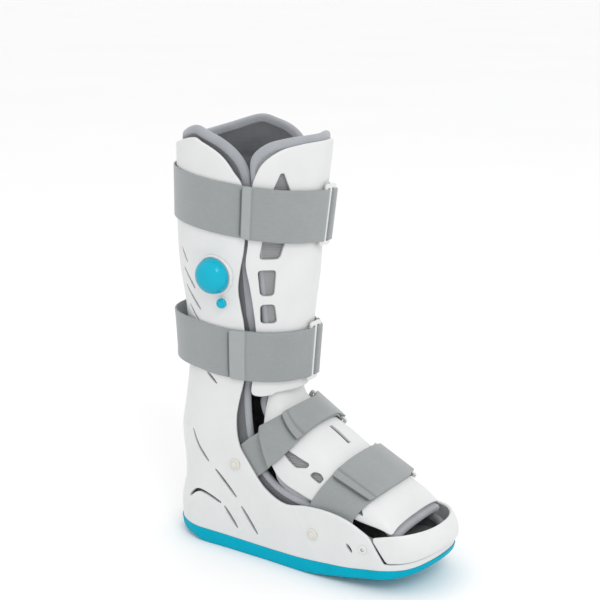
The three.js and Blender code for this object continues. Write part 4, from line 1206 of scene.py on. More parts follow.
def plastic(name, colour, roughness, depth, coat=0.0, ridge=None):
    """Satin moulded plastic with a painted highlight along its edges. A ridge is a faint moulded line between
    two side points, raised as a bump and painted lighter.
    """
    material, w, shader = start_material(name)
    places = object_places(w)
    grain = tinted(w, moulded_grain, places, colour, 0.93)
    # painted highlight: the colour is lightened within a ragged reach of the moulding's edges
    edge_highlight_mask = place_effect(w, painted_edge_highlight, places, Distance=kept_value(w, "edge"))["Mask"]
    skin = w.mix(w.math("MULTIPLY", edge_highlight_mask, 0.25), grain["Color"], brighter(colour, 1.08))
    height = grain["Height"]
    if ridge:
        line = ridge_line(w, places, ridge)
        # painted highlight: the ridge's line is painted lighter, on top of its raised bump below
        skin = w.mix(w.math("MULTIPLY", line, 0.25), skin, brighter(colour, 1.1))
        height = w.math("MULTIPLY_ADD", line, 9.0, height)
    gloss = w.math("ADD", grain["Gloss"], roughness - 0.06)
    finish(w, shader, {"Base Color": skin, "Roughness": gloss, "Coat Weight": coat}, height, depth)
    return material


def ridge_line(w, places, ridge):
    """A mask of a thin line between two points of the side view, on the foot alone."""
    parts = w.node("ShaderNodeSeparateXYZ", {"Vector": places}).outputs
    (y1, z1), (y2, z2) = ridge
    run = math.hypot(y2 - y1, z2 - z1)
    ny, nz = (z2 - z1) / run, -(y2 - y1) / run
    away = w.math("MULTIPLY_ADD", parts["Y"], ny, w.math("MULTIPLY", parts["Z"], nz))
    gone = w.math("ABSOLUTE", w.math("SUBTRACT", away, ny * y1 + nz * z1))
    line = w.math("SUBTRACT", 1.0, w.ramp(gone, 0.0003, 0.0016))
    top = max(z1, z2)
    return w.math("MULTIPLY", line, w.math("SUBTRACT", 1.0, w.ramp(parts["Z"], top + 0.004, top + 0.01)))


def rubber(name, colour, roughness, coat):
    """Rubber with painted shade that deepens where its face turns away from the view, by its share of coat,
    which also sets its coat weight.
    """
    material, w, shader = start_material(name)
    grain = tinted(w, moulded_grain, object_places(w), colour, 0.88, Speckle=0.25)
    facing = w.node("ShaderNodeLayerWeight", {"Blend": 0.4}).outputs["Facing"]
    # painted shade: the colour darkens towards the outline as the face turns away from the view
    deep = w.math("MULTIPLY", w.math("POWER", facing, 2.0), coat)
    finish(w, shader, {
        "Base Color": w.mix(deep, grain["Color"], shade_of(colour, 0.55)),
        "Roughness": w.math("ADD", grain["Gloss"], roughness - 0.06),
        "Specular IOR Level": 0.06,
        "Coat Weight": 0.35 * coat,
        "Coat Roughness": 0.05,
    }, grain["Height"], 0.00005)
    return material


def strap_cloth(name, colour, wide, light):
    """Brushed strap cloth with a sewn band of some width at the free end, lighter by a share, and a painted
    shadow along the free end.
    """
    material, w, shader = start_material(name)
    pile = tinted(w, brushed_pile, pattern_places(w), colour, 0.84)
    end = kept_value(w, "from_end")
    band = w.math("SUBTRACT", 1.0, w.ramp(end, wide - 0.001, wide + 0.002))
    seam = w.math("MULTIPLY", w.ramp(end, wide - 0.0024, wide - 0.0016), band)
    # painted shadow: the last millimetres before the free end are darkened, as the shadow under the raised
    # end
    painted_end_shadow = w.math("SUBTRACT", 1.0, w.ramp(end, 0.001, 0.0024))
    lightened = w.mix(w.math("MULTIPLY", band, light), pile["Color"], shade_of(colour, 1.3))
    dark = w.math("MAXIMUM", w.math("MULTIPLY", seam, 0.3), w.math("MULTIPLY", painted_end_shadow, 0.9))
    finish(w, shader, {
        "Base Color": w.mix(dark, lightened, shade_of(colour, 0.2)),
        "Roughness": 0.9,
        "Sheen Weight": 0.35,
        "Sheen Roughness": 0.5,
    }, w.math("SUBTRACT", pile["Height"], w.math("MULTIPLY", seam, 2.0)), 0.00022)
    return material


def knit(name, colour, pitch, open_share, shade, depth):
    material, w, shader = start_material(name)
    cover = tinted(w, knitted_cover, pattern_places(w), colour, shade, Pitch=pitch)
    dark = w.math("MULTIPLY", cover["Open"], open_share)
    base = w.mix(dark, cover["Color"], shade_of(colour, 0.25))
    finish(w, shader, {"Base Color": base, "Roughness": 0.95, "Sheen Weight": 0.25}, cover["Height"], depth)
    return material


def woven(name, colour, shade, roughness, sheen, depth):
    """Binding tape or thread."""
    material, w, shader = start_material(name)
    tape_look = tinted(w, woven_tape, object_places(w), colour, shade)
    inputs = {"Base Color": tape_look["Color"], "Roughness": roughness, "Sheen Weight": sheen}
    finish(w, shader, inputs, tape_look["Height"], depth)
    return material


def metal(name, colour):
    material, w, shader = start_material(name)
    grain = tinted(w, moulded_grain, object_places(w), colour, 0.8)
    inputs = {"Base Color": grain["Color"], "Roughness": w.math("ADD", grain["Gloss"], 0.3), "Metallic": 0.9}
    finish(w, shader, inputs, grain["Height"], 0.00002)
    return material


def dress(body, look, replaced=()):
    """Gives a finished piece its look and its body, and hides the nodes that it stands for."""
    body.data.materials.clear()
    body.data.materials.append(material_of(look))
    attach(body, "root")
    if replaced:
        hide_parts(*replaced)
    return body


# Sizes and colours


def length(name, default, description):
    return bpy.props.FloatProperty(name=name, description=description, default=default, min=0, precision=5,
                                   unit="LENGTH", subtype="DISTANCE")


def tint(name, default, description):
    return bpy.props.FloatVectorProperty(
        name=name, description=description, default=default, size=3, min=0, max=1, subtype="COLOR")


class BootSizes(bpy.types.PropertyGroup):
    boot_height: length("Boot height", 0.424, "Height of the liner's top above the ground")
    sole_length: length("Sole length", 0.304, "Length of the rocker sole")
    forefoot_width: length("Forefoot width", 0.114, "Width of the boot at its forefoot")
    calf_width: length("Calf width", 0.14, "Width of the shaft at the calf")
    calf_depth: length("Calf depth", 0.157, "Depth of the shaft at the calf")
    shell_wall: length("Shell wall", 0.003, "Wall of the base shell")
    panel_wall: length("Panel wall", 0.003, "Wall of the shin panel")
    cover_wall: length("Cover wall", 0.0026, "Wall of the foot cover")
    guard_wall: length("Guard wall", 0.0035, "Wall of the toe guard")
    liner_wall: length("Liner wall", 0.006, "Thickness of the boot liner")
    pad_wall: length("Pad wall", 0.006, "Thickness of the shin and foot pads")
    strap_room: length("Strap room", 0.004, "Room for webbing between the shell and its liner")
    fit: length("Fit", 0.0003, "Clearance between pieces that touch")
    seam: length("Seam", 0.0012, "Gap where two mouldings meet")
    rim_round: length("Rim rounding", 0.001, "Rounding of the mouldings' edges")
    slot_width: length("Slot width", 0.0033, "Width of the vent slots")
    binding_width: length("Binding width", 0.0055, "Width of the padding's edge binding on each face")
    binding_rise: length("Binding rise", 0.0006, "How far the edge binding stands over the padding")


class WebbingSizes(bpy.types.PropertyGroup):
    calf_strap_width: length("Calf strap width", 0.05, "Width of the two calf straps")
    instep_strap_width: length("Instep strap width", 0.038, "Width of the strap over the instep")
    forefoot_strap_width: length("Forefoot strap width", 0.042, "Width of the strap over the forefoot")
    strap_thickness: length("Strap thickness", 0.0016, "Thickness of every strap")
    strap_tail: length("Strap tail", 0.022, "Length of a strap's sewn end past its ring")
    tuck_length: length("Tuck length", 0.02, "Length of the foot straps' ends inside the shell")
    instep_lift: length("Instep lift", 0.0014, "How far the instep strap rides over the cover")
    ring_bar: length("Ring bar", 0.004, "Width of a ring's bars")
    ring_thickness: length("Ring thickness", 0.0024, "Thickness of a ring")
    calf_ring_gap: length("Calf ring gap", 0.011, "Gap between the outer bars of a calf strap's ring")
    calf_ring_middle: length("Calf ring middle bar", 0.0032, "Width of a calf ring's middle bar")
    foot_ring_gap: length("Foot ring gap", 0.0075, "Gap between the bars of a foot strap's ring")
    upper_standoff: length("Upper stand-off", 0.0006, "How far the upper calf strap stands off the back")
    lower_standoff: length("Lower stand-off", 0.011, "How far the lower calf strap stands off the back")
    ring_rise: length("Ring rise", 0.003, "How much farther out a calf ring's far bar lies than its near one")


class TrimSizes(bpy.types.PropertyGroup):
    bulb_radius: length("Bulb radius", 0.0175, "Radius of the air pump's bulb")
    bulb_height: length("Bulb height", 0.015, "Height of the air pump's bulb")
    bulb_seat_radius: length("Bulb seat radius", 0.0198, "Radius of the bulb's seat")
    bulb_seat_rise: length("Bulb seat rise", 0.0016, "Height of the bulb's seat over the shell")
    pump_height: length("Pump height", 0.285, "Height of the bulb's middle above the ground")
    valve_radius: length("Valve radius", 0.0048, "Radius of the release valve's knob")
    valve_height: length("Valve height", 0.006, "Height of the release valve's knob")
    valve_seat_radius: length("Valve seat radius", 0.0059, "Radius of the release valve's seat")
    valve_seat_rise: length("Valve seat rise", 0.0014, "Height of the release valve's seat")
    valve_along: length("Valve place", 0.007, "How far the valve lies ahead of the bulb's middle")
    valve_drop: length("Valve drop", 0.0265, "How far the valve lies below the bulb's middle")
    rivet_radius: length("Rivet radius", 0.0058, "Radius of the rivets' heads")
    rivet_rise: length("Rivet rise", 0.0018, "Height of the rivets' heads")
    screw_radius: length("Screw radius", 0.0042, "Radius of the toe guard's screws")
    screw_rise: length("Screw rise", 0.0012, "Height of the toe guard's screws")


class BootColours(bpy.types.PropertyGroup):
    shell: tint("Shell", (0.66, 0.67, 0.67), "White plastic of the shells")
    sole: tint("Sole", (0.0, 0.36, 0.5), "Rubber of the outsole")
    bulb: tint("Bulb", (0.0, 0.4, 0.55), "Rubber of the air pump")
    strap: tint("Strap", (0.285, 0.304, 0.308), "Brushed face of the straps")
    liner: tint("Liner", (0.17, 0.178, 0.19), "Knitted cover of the padding")
    mesh: tint("Mesh", (0.33, 0.342, 0.345), "Open mesh of the shin and foot pads")
    binding: tint("Binding", (0.35, 0.365, 0.39), "Edge binding of the padding")
    ring: tint("Ring", (0.66, 0.66, 0.65), "Plastic of the rings")
    rivet: tint("Rivet", (0.62, 0.615, 0.56), "Plastic of the rivets")
    screw: tint("Screw", (0.2, 0.2, 0.2), "Metal in the screws' recess")


def sizes():
    return bpy.context.scene.boot_sizes


def colours():
    return bpy.context.scene.boot_colours


def material_of(look):
    """A finish by its look's name, made the first time that a piece needs it."""
    name = f"{look}_finish"
    found = bpy.data.materials.get(name)
    if found:
        return found
    c = colours()
    makers = {
        "shell_white": lambda: plastic(name, c.shell, 0.4, 0.00003, ridge=ridge_ends()),
        "cover_white": lambda: plastic(name, c.shell, 0.38, 0.00003),
        "seat_white": lambda: plastic(name, c.shell, 0.35, 0.00002),
        "sole_rubber": lambda: rubber(name, c.sole, 0.5, 0.0),
        "bulb_rubber": lambda: rubber(name, c.bulb, 0.26, 1.0),
        "strap_cloth": lambda: strap_cloth(name, c.strap, 0.012, 0.45),
        "wide_strap_cloth": lambda: strap_cloth(name, c.strap, 0.019, 0.45),
        "foot_strap_cloth": lambda: strap_cloth(name, c.strap, 0.01, 0.0),
        "liner_knit": lambda: knit(name, c.liner, 0.0013, 0.25, 0.6, 0.0003),
        "open_mesh": lambda: knit(name, c.mesh, 0.0024, 0.85, 0.75, 0.0005),
        "binding_tape": lambda: woven(name, c.binding, 0.8, 0.85, 0.3, 0.00018),
        "light_thread": lambda: woven(name, shade_of(c.binding, 1.25), 0.7, 0.8, 0.0, 0.0001),
        "ring_plastic": lambda: plastic(name, c.ring, 0.28, 0.00002, coat=0.3),
        "rivet_plastic": lambda: plastic(name, c.rivet, 0.32, 0.00002, coat=0.2),
        "screw_metal": lambda: metal(name, c.screw),
    }
    return makers[look]()


def ridge_ends():
    s = sizes()
    return [(share[0] * s.sole_length, share[1] * s.boot_height) for share in RIDGE]


# Pieces


def opening_room(form, line, low):
    """How far points lie from the open side of a line across the boot."""
    far, top = 1.2 * form.long, 2 * form.high
    outline = np.concatenate([line, [[-far, low], [-far, top], [far, top], [far, line[0][1]]]])
    return lambda points, a, b: -room_inside(points[:, 1:], outline, len(line) - 1)


def outline_room(line):
    """How far points lie inside a closed side view line."""
    return lambda points, a, b: room_inside(points[:, 1:], line, len(line) - 1)


def mould(node, look, skin, room, wall, rim, cutters=(), **faces):
    """A plastic moulding with openings cut through it."""
    body, _ = plate(f"{node}_moulding", skin, room, wall, rim, **faces)
    if cutters:
        cut_out(body, cutters)
    smooth(body, 40)
    dress(body, look, [node])


class BootOperator:
    bl_options = {"REGISTER", "UNDO"}

    def execute(self, context):
        self.form = Form(sizes())
        self.build(context)
        return {"FINISHED"}


class BOOT_OT_base_shell(BootOperator, bpy.types.Operator):
    """Mould the base shell with its vent slots"""

    bl_idname = "boot.base_shell"
    bl_label = "Base Shell"

    def build(self, context):
        s, form = sizes(), self.form
        low = form.floor + s.fit
        first = [0, 0.5 * s.shell_wall, s.shell_wall, 1.5 * s.shell_wall, 2 * s.shell_wall]
        skin = boot_skin(form, low, form.high, 0.0, 220, 2.9 * MM, first)
        lip = form.lip_line(6 * MM)
        line = np.concatenate([form.side_line(SHELL_EDGE), lip])
        room = opening_room(form, line, lip[-1][1])
        mould("base_shell", "shell_white", skin, room, s.shell_wall, s.rim_round, self.vent_cutters(s, form),
              floor=s.shell_wall)

    def vent_cutters(self, s, form):
        cutters = []
        for side in (-1, 1):
            for vent in VENTS:
                points = np.array(vent) * [form.long, form.high]
                line = spline(points, 6) if len(points) > 2 else np.linspace(points[0], points[1], 9)
                path = form.side_point(line[:, 0], line[:, 1], side)
                normals = form.side_normal(line[:, 0], line[:, 1], side)
                loop, ways = slot_loop(path, normals, s.slot_width)
                cutters.append(sunk_layers(loop, ways, s.shell_wall + 1.5 * MM, 0.35 * MM))
            cutters.append(self.heel_slot(s, form, side))
        return cutters

    def heel_slot(self, s, form, side):
        """The upright slot at the heel, at an angle round from the front."""
        angle = math.radians(157)
        z = 0.216 * form.high + np.linspace(-6.5, 6.5, 7) * MM
        across, back = math.sin(angle), -math.cos(angle)
        within = lambda far: form.half_width(far * back, z) > far * across
        y = farthest(np.zeros(len(z)), np.full(len(z), form.deep), within) * back
        path = np.stack([side * form.half_width(y, z), y, z], axis=-1)
        normals = form.side_normal(y, z, side)
        loop, ways = slot_loop(path, normals, 4.5 * MM, taper=0.1)
        return sunk_layers(loop, ways, s.shell_wall + 1.5 * MM, 0.35 * MM)


class BOOT_OT_shin_panel(BootOperator, bpy.types.Operator):
    """Mould the shin panel with its windows"""

    bl_idname = "boot.shin_panel"
    bl_label = "Shin Panel"

    def build(self, context):
        s, form = sizes(), self.form
        skin = front_skin(form, 0.37 * form.high, form.high, 0.0, 110, 2.5 * MM, 0.42)
        room = outline_room(form.side_line(PANEL_EDGE))
        cutters = [self.window(s, form, window, side) for window in WINDOWS for side in (-1, 1)]
        mould("shin_panel", "cover_white", skin, room, s.panel_wall, s.rim_round, cutters)

    def window(self, s, form, window, side):
        angle, height, tall, high_left, high_right, low_left, low_right = window
        corners = np.array([[low_left, 0], [low_right, 0], [high_right, tall], [high_left, tall]])
        loop = rounded_loop(corners * [form.calf, form.high], 4.2 * MM)
        loop[:, 0] *= -side
        turn = side * math.radians(angle)
        right = np.array([math.cos(turn), math.sin(turn)])
        out = np.array([math.sin(turn), -math.cos(turn)])
        z = height * form.high + loop[:, 1]
        half, front, back, _ = form.reach(z, 0.0)
        middle, depth = (back - front) / 2, (back + front) / 2
        px, py = loop[:, 0] * right[0], loop[:, 0] * right[1] - middle
        qa = (out[0] / half) ** 2 + (out[1] / depth) ** 2
        qb = 2 * (px * out[0] / half ** 2 + py * out[1] / depth ** 2)
        qc = (px / half) ** 2 + (py / depth) ** 2 - 1
        far = (-qb + np.sqrt(qb * qb - 4 * qa * qc)) / (2 * qa)
        points = np.stack([px + far * out[0], py + middle + far * out[1], z], axis=-1)
        slopes = [points[:, 0] / half ** 2, (points[:, 1] - middle) / depth ** 2, 0 * z]
        normals = unit(np.stack(slopes, axis=-1))
        return sunk_layers(points, normals, s.panel_wall + 1.5 * MM, 0.45 * MM)


def sheet_room(skin, corner):
    """The distance to a whole skin's border, with its corners rounded."""
    cells = 80
    lines = cells + 1
    us, vs = np.linspace(0, skin.columns, lines), np.linspace(0, skin.rows, lines)
    grid_a, grid_b = np.meshgrid(us, vs, indexing="ij")
    points = skin.at(grid_a.ravel(), grid_b.ravel()).reshape(lines, lines, 3)
    steps = np.cumsum(np.linalg.norm(np.diff(points, axis=0), axis=2), axis=0)
    across = np.concatenate([np.zeros((1, lines)), steps])
    along = np.linalg.norm(np.diff(points, axis=1), axis=2).mean(axis=0)
    along = np.concatenate([[0], np.cumsum(along)])

    def room(p, a, b):
        run = np.interp(b, vs, along)
        column = a / skin.columns * cells
        row = np.clip(b / skin.rows * cells, 0, cells)
        c0, r0 = np.minimum(column.astype(int), cells - 1), np.minimum(row.astype(int), cells - 1)
        cf, rf = column - c0, row - r0
        wide = (across[c0, r0] * (1 - cf) + across[c0 + 1, r0] * cf) * (1 - rf)
        wide = wide + (across[c0, r0 + 1] * (1 - cf) + across[c0 + 1, r0 + 1] * cf) * rf
        total = np.interp(row, np.arange(lines), across[-1])
        side = np.minimum(wide, total - wide)
        end = np.minimum(run, along[-1] - run)
        radius = np.where(run < along[-1] / 2, corner[0], corner[1])
        in_corner = (side < radius) & (end < radius)
        rounded = radius - np.hypot(radius - side, radius - end)
        return np.where(in_corner, rounded, np.minimum(side, end))

    return room


class BOOT_OT_foot_cover(BootOperator, bpy.types.Operator):
    """Mould the arched foot cover with its openings"""

    bl_idname = "boot.foot_cover"
    bl_label = "Foot Cover"

    def build(self, context):
        s, form = sizes(), self.form
        middle = Skin(lambda u, v: form.cover(v, (2 * u - 1) * COVER_EDGE), 96, np.linspace(0, 1, 97))
        skin = offset_skin(middle, s.cover_wall / 2)
        room = sheet_room(middle, (3.5 * MM, 12 * MM))
        slots = [np.array(slot) * [1, side] for slot in COVER_SLOTS for side in (-1, 1)]
        cutters = [self.opening(s, form, slot) for slot in slots + [np.array(CREST_SLOT)]]
        mould("foot_cover", "cover_white", skin, room, s.cover_wall, 0.9 * s.rim_round, cutters)

    def opening(self, s, form, corners):
        spread = [COVER_LENGTH, 90 * MM]
        loop = rounded_loop(corners * spread, 2.6 * MM) / spread
        t, q = loop[:, 0], loop[:, 1]
        h = 1e-3
        along = form.cover(t + h, q) - form.cover(t - h, q)
        across = form.cover(t, q + h) - form.cover(t, q - h)
        normals = unit(np.cross(across, along))
        points = form.cover(t, q) + normals * s.cover_wall / 2
        return sunk_layers(points, normals, s.cover_wall + 1.5 * MM, 0.5 * MM)


class BOOT_OT_toe_guard(BootOperator, bpy.types.Operator):
    """Mould the bumper round the toes"""

    bl_idname = "boot.toe_guard"
    bl_label = "Toe Guard"

    def build(self, context):
        s, form = sizes(), self.form
        level = 0.06 * form.high

        def station_at(y):
            return farthest(np.zeros_like(y), np.ones_like(y), lambda mid: form.along(mid, level, 0.0) > y)

        def place(u, v):
            u, v = np.broadcast_arrays(u, v)
            around = (u - 0.5) * 2
            rear = (GUARD_BACK + (GUARD_FOOT - GUARD_BACK) * (1 - v)) * form.long - 3 * s.seam
            station = 1 - np.abs(around) * (1 - station_at(rear))
            lean = np.sin(np.pi * (0.25 + 0.6 * v)) - 1.1 * v * v
            bulge = 5 * MM * (1 - around * around) * lean
            sign = np.where(around < 0, -1, 1)
            point = form.face(sign * station, level + 0 * u, bulge - s.guard_wall / 2, lifted=False)
            bottom = form.floor_top(point[..., 1]) + 6 * MM + s.seam
            top = GUARD_TOP.read("height", point[..., 1] / form.long) * form.high
            point[..., 2] = bottom + (top - bottom) * v
            return point

        middle = Skin(place, 150, np.linspace(0, 1, 17))
        skin = offset_skin(middle, s.guard_wall / 2)
        room = sheet_room(middle, (1.5 * MM, 3 * MM))
        mould("toe_guard", "cover_white", skin, room, s.guard_wall, 1.3 * s.rim_round)


class BOOT_OT_outsole(BootOperator, bpy.types.Operator):
    """Mould the rocker outsole with its tread grooves"""

    bl_idname = "boot.outsole"
    bl_label = "Outsole"

    def build(self, context):
        form = self.form
        columns = 260
        w = 1 - 2 * np.arange(columns) / columns
        rows = []
        for outset, share, raised in SOLE_PROFILE:
            ring = form.face(w, np.full(columns, form.floor), outset * MM, lifted=False)
            under, top = form.floor_under(ring[:, 1]), form.floor_top(ring[:, 1])
            ring[:, 2] = under + (top - under) * share + raised * MM
            rows.append(ring)
        around = list(range(columns))
        last = [v + (len(rows) - 1) * columns for v in around]
        faces = loft_faces(len(rows), columns) + closing_strips(around, True) + closing_strips(last, False)
        body = mesh_object("outsole_tread", np.concatenate(rows), faces)
        facing_out(body)
        cut_out(body, self.grooves(form))
        smooth(body, 35)
        dress(body, "sole_rubber", ["outsole"])

    def grooves(self, form):
        flat_front, flat_back = -0.28 * form.long, 0.1 * form.long
        pitch, width, depth, margin = 15 * MM, 4 * MM, 2.5 * MM, 7 * MM
        count = int((flat_front + TOE_REACH * form.long - pitch) // pitch)
        places = [flat_front - pitch / 2 - k * pitch for k in range(count)] + [flat_back + pitch / 2]
        cutters = []
        for y in places:
            under = float(form.floor_under(np.array(y)))
            run = float(form.half_width(np.array(y - width / 2), np.array(form.floor))) - margin
            corners = [(y - width / 2, under - depth), (y + width / 2, under - depth),
                       (y + width / 2, under + depth), (y - width / 2, under + depth)]
            cutters.append([np.array([(x, *corner) for corner in corners]) for x in (-run, run)])
        return cutters


SOLE_PROFILE = [
    (-1.6, 0, 0), (-0.9, 0, 0.2), (-0.35, 0, 0.7), (-0.1, 0, 1.4), (0.2, 0.35, 0), (0.6, 0.65, 0),
    (0.95, 1, -0.9), (0.85, 1, -0.35), (0.4, 1, 0),
]
RIDGE = [(-0.258, 0.174), (-0.352, 0.058)]


class BOOT_OT_boot_liner(BootOperator, bpy.types.Operator):
    """Sew the padded boot liner with its edge binding"""

    bl_idname = "boot.boot_liner"
    bl_label = "Boot Liner"

    def build(self, context):
        s, form = sizes(), self.form
        low = form.floor + s.shell_wall + s.fit + s.seam
        first = [0, 0.5 * s.liner_wall, s.liner_wall, 1.5 * s.liner_wall]
        skin = boot_skin(form, low, 1.03 * form.high, -(s.shell_wall + s.strap_room), 200, 3.2 * MM, first)
        room = opening_room(form, form.side_line(LINER_EDGE), 0.1 * form.high)
        width = lambda points: np.interp(points[:, 2] / form.high, *LINER_BINDING) * s.binding_width
        upright = lambda points: np.ptp(points[:, 2]) > 0.1
        sew_pad("boot_liner", skin, room, s.liner_wall, "liner_knit", width, upright, floor=s.liner_wall,
                inner=self.quilting)

    def quilting(self, points, near):
        """How far the inner face swells between its sewn channels."""
        swell = ease((near - 10 * MM) / (14 * MM))
        channel = 1 - np.exp(-((np.mod(points[:, 2], 45 * MM) - 22.5 * MM) / (2.2 * MM)) ** 2)
        return 1.1 * MM * swell * channel


# The width of the liner's binding as a share of the common width, by the share of the boot's height.
LINER_BINDING = ([0.42, 0.48, 0.52, 0.58, 0.8, 0.86], [0.55, 0.55, 1.2, 2.1, 2.1, 1.0])


def sew_pad(node, skin, room, wall, look, width, loops=None, **faces):
    """A padded piece with a full round rim, its binding tape and the stitches on both of its faces."""
    body, patch = plate(f"{node}_padding", skin, room, wall, 0.48 * wall, arcs=4, **faces)
    add_pattern_map(body)
    smooth(body, 70)
    dress(body, look, [node])
    body, rows = tape(f"{node}_binding", skin, patch, wall, width, sizes().binding_rise, loops)
    smooth(body, 60)
    dress(body, "binding_tape")
    lines = []
    for (a, b), outer, inner in rows:
        normals = skin.normal(a, b)
        normals = np.concatenate([normals, normals[:1]])
        for layer, side in ((outer, 1), (inner, -1)):
            lines.append((np.concatenate([layer, layer[:1]]), normals * side))
    dress(stitches(f"{node}_stitches", lines), "light_thread")


class BOOT_OT_shin_pad(BootOperator, bpy.types.Operator):
    """Sew the shin pad behind the shin panel"""

    bl_idname = "boot.shin_pad"
    bl_label = "Shin Pad"

    def build(self, context):
        s, form = sizes(), self.form
        outset = -(s.panel_wall + 3 * s.fit)
        skin = front_skin(form, 0.42 * form.high, 1.02 * form.high, outset, 90, 3.0 * MM, 0.42)
        room = outline_room(form.side_line(SHIN_PAD_EDGE))
        high = 0.9 * form.high
        narrow = lambda points: s.binding_width * np.clip((points[:, 2] - high) / (15 * MM), 0.35, 1)
        sew_pad("shin_pad", skin, room, s.pad_wall, "open_mesh", narrow)


class BOOT_OT_foot_pad(BootOperator, bpy.types.Operator):
    """Sew the pad under the foot cover"""

    bl_idname = "boot.foot_pad"
    bl_label = "Foot Pad"

    def build(self, context):
        s = sizes()
        middle = Skin(self.place, 96, np.linspace(-0.024, 0.98, 97))
        skin = offset_skin(middle, -(s.cover_wall / 2 + s.seam + s.fit))
        room = sheet_room(skin, (6 * MM, 14 * MM))
        sew_pad("foot_pad", skin, room, s.pad_wall, "open_mesh", s.binding_width)

    def place(self, u, v):
        """The cover's face, carried on past its front edge and past the stretches of its sides that no strap
        lies on."""
        t = 2 * u - 1
        side = 1.25 * t - 0.25 * t ** 3
        inside = np.clip(side, -PAD_TURN, PAD_TURN)
        along = np.maximum(v, 0)
        point = self.form.cover(along, inside)
        way = (point - self.form.cover(along, inside - 0.01 * np.sign(inside))) / 0.01
        reach = (np.abs(side) - np.abs(inside)) * np.interp(v, *PAD_REACH)
        ahead = np.maximum(-v, 0) * COVER_LENGTH
        aside = np.abs(inside) ** 6 * np.interp(v, [0.84, 0.92], [0, 1])
        shift = np.stack([np.sign(inside) * aside * 2 * MM, aside * 11 * MM - ahead, -0.12 * ahead], axis=-1)
        return point + way * reach[..., None] + shift


# Where the foot pad's face leaves the cover's, and how far it goes on, by the share along the cover.
PAD_TURN = 0.93
PAD_REACH = (
    [0.2, 0.26, 0.5, 0.54, 0.68, 0.72, 0.85, 0.89, 0.98],
    [1.1, 0.7, 0.7, 1.7, 1.7, 0.7, 0.7, 2.0, 2.4],
)


def calf_surface(form, width, row):
    """The shaft's face under a calf strap, by the angle round from the front and the share across."""

    def at(angle, z):
        half, front, back, _ = form.reach(z, 0.0)
        y = (back - front - (back + front) * np.cos(angle)) / 2
        return np.stack([half * np.sin(angle), y, z + 0 * y], axis=-1)

    def surface(angle, across):
        x, y, z = np.moveaxis(at(angle, row["height"] * form.high + 0 * angle), -1, 0)
        return at(angle, z + row["slope"] * y - row["tilt"] * x + (across - 0.5) * width)

    return surface


def laid(low, high, step, offset):
    """Even stops along a strap between two distances."""
    count = max(int(abs(high - low) / step), 2)
    heights = offset if callable(offset) else lambda d: offset
    return [{"distance": d, "offset": heights(d)} for d in np.linspace(low, high, count + 1)]


class BOOT_OT_calf_straps(BootOperator, bpy.types.Operator):
    """Lay the two calf straps with their rings"""

    bl_idname = "boot.calf_straps"
    bl_label = "Calf Straps"

    def build(self, context):
        w = context.scene.webbing_sizes
        self.lay_strap("upper", w, w.upper_standoff, "strap_cloth")
        self.lay_strap("lower", w, w.lower_standoff, "wide_strap_cloth")

    def lay_strap(self, name, w, standoff, cloth):
        row = CALF_STRAPS[name]
        webbing = Webbing(w, sizes().fit)
        width = w.calf_strap_width
        guide = Guide(calf_surface(self.form, width, row), 0, 2 * math.pi + 1, 0.0)
        turn = guide.distance_at(2 * math.pi)
        near = guide.distance_at(math.radians(row["bar"]))
        frame = RingFrame(webbing, guide, near, width, w.calf_ring_gap, 0.0, w.ring_rise)
        back_end = guide.distance_at(2 * math.pi - math.radians(row["end"]))

        def settling(distance):
            return w.ring_rise * (1 - ease((distance - frame.far) / (24 * MM)))

        def behind(distance):
            away = ease((abs(distance / turn - 0.5) - 0.05) / 0.15)
            return webbing.under + standoff * (1 - away) + settling(distance)

        step = 3 * MM
        tail = outer_layer(webbing, frame.far, frame.far + webbing.tail, step, width)[::-1]
        for stop in tail:
            stop["offset"] += settling(stop["distance"])
        course = tail + round_bar(webbing, frame, -1)[::-1]
        course += laid(frame.far + webbing.bar, turn + near - webbing.bar, step, behind)
        course += round_bar(webbing, frame, 1, turn)
        course += outer_layer(webbing, turn + near, back_end, step, width)
        webbing_strap(f"{name}_calf_strap", guide, course, width, webbing, cloth)
        ring_piece(f"{name}_calf_ring", webbing, frame, width, w.calf_ring_middle)


# Each calf strap's height as a share of the boot's, its slope and tilt, and the degrees from the front to
# its ring's near bar and to its free end.
CALF_STRAPS = {
    "upper": {"height": 0.8231, "slope": 0.12, "tilt": 0.055, "bar": 4, "end": 67},
    "lower": {"height": 0.4929, "slope": 0.08, "tilt": 0, "bar": 1, "end": 79},
}
# Each foot strap's front and rear edge along the cover and their skew at its sides, the way back and down of
# its tucked ends, their inset and twist in the gap and how much longer they are, and the places across the
# cover of its ring and its free end.
FOOT_STRAPS = {
    "instep": {
        "front": 0.65, "rear": 0.815, "front_skew": 0.07, "rear_skew": 0.02, "back": 1, "down": 0.9,
        "inset": 0.2, "twist": -0.625, "longer": 0.35, "ring": 0.5, "end": 0.52,
    },
    "forefoot": {
        "front": 0.17, "rear": 0.41, "front_skew": 0.1, "rear_skew": 0.1, "back": 0.05, "down": 1,
        "inset": 0.05, "twist": 0, "longer": 0, "ring": 0.46, "end": 0.6,
    },
}
TUCKED = 1.9


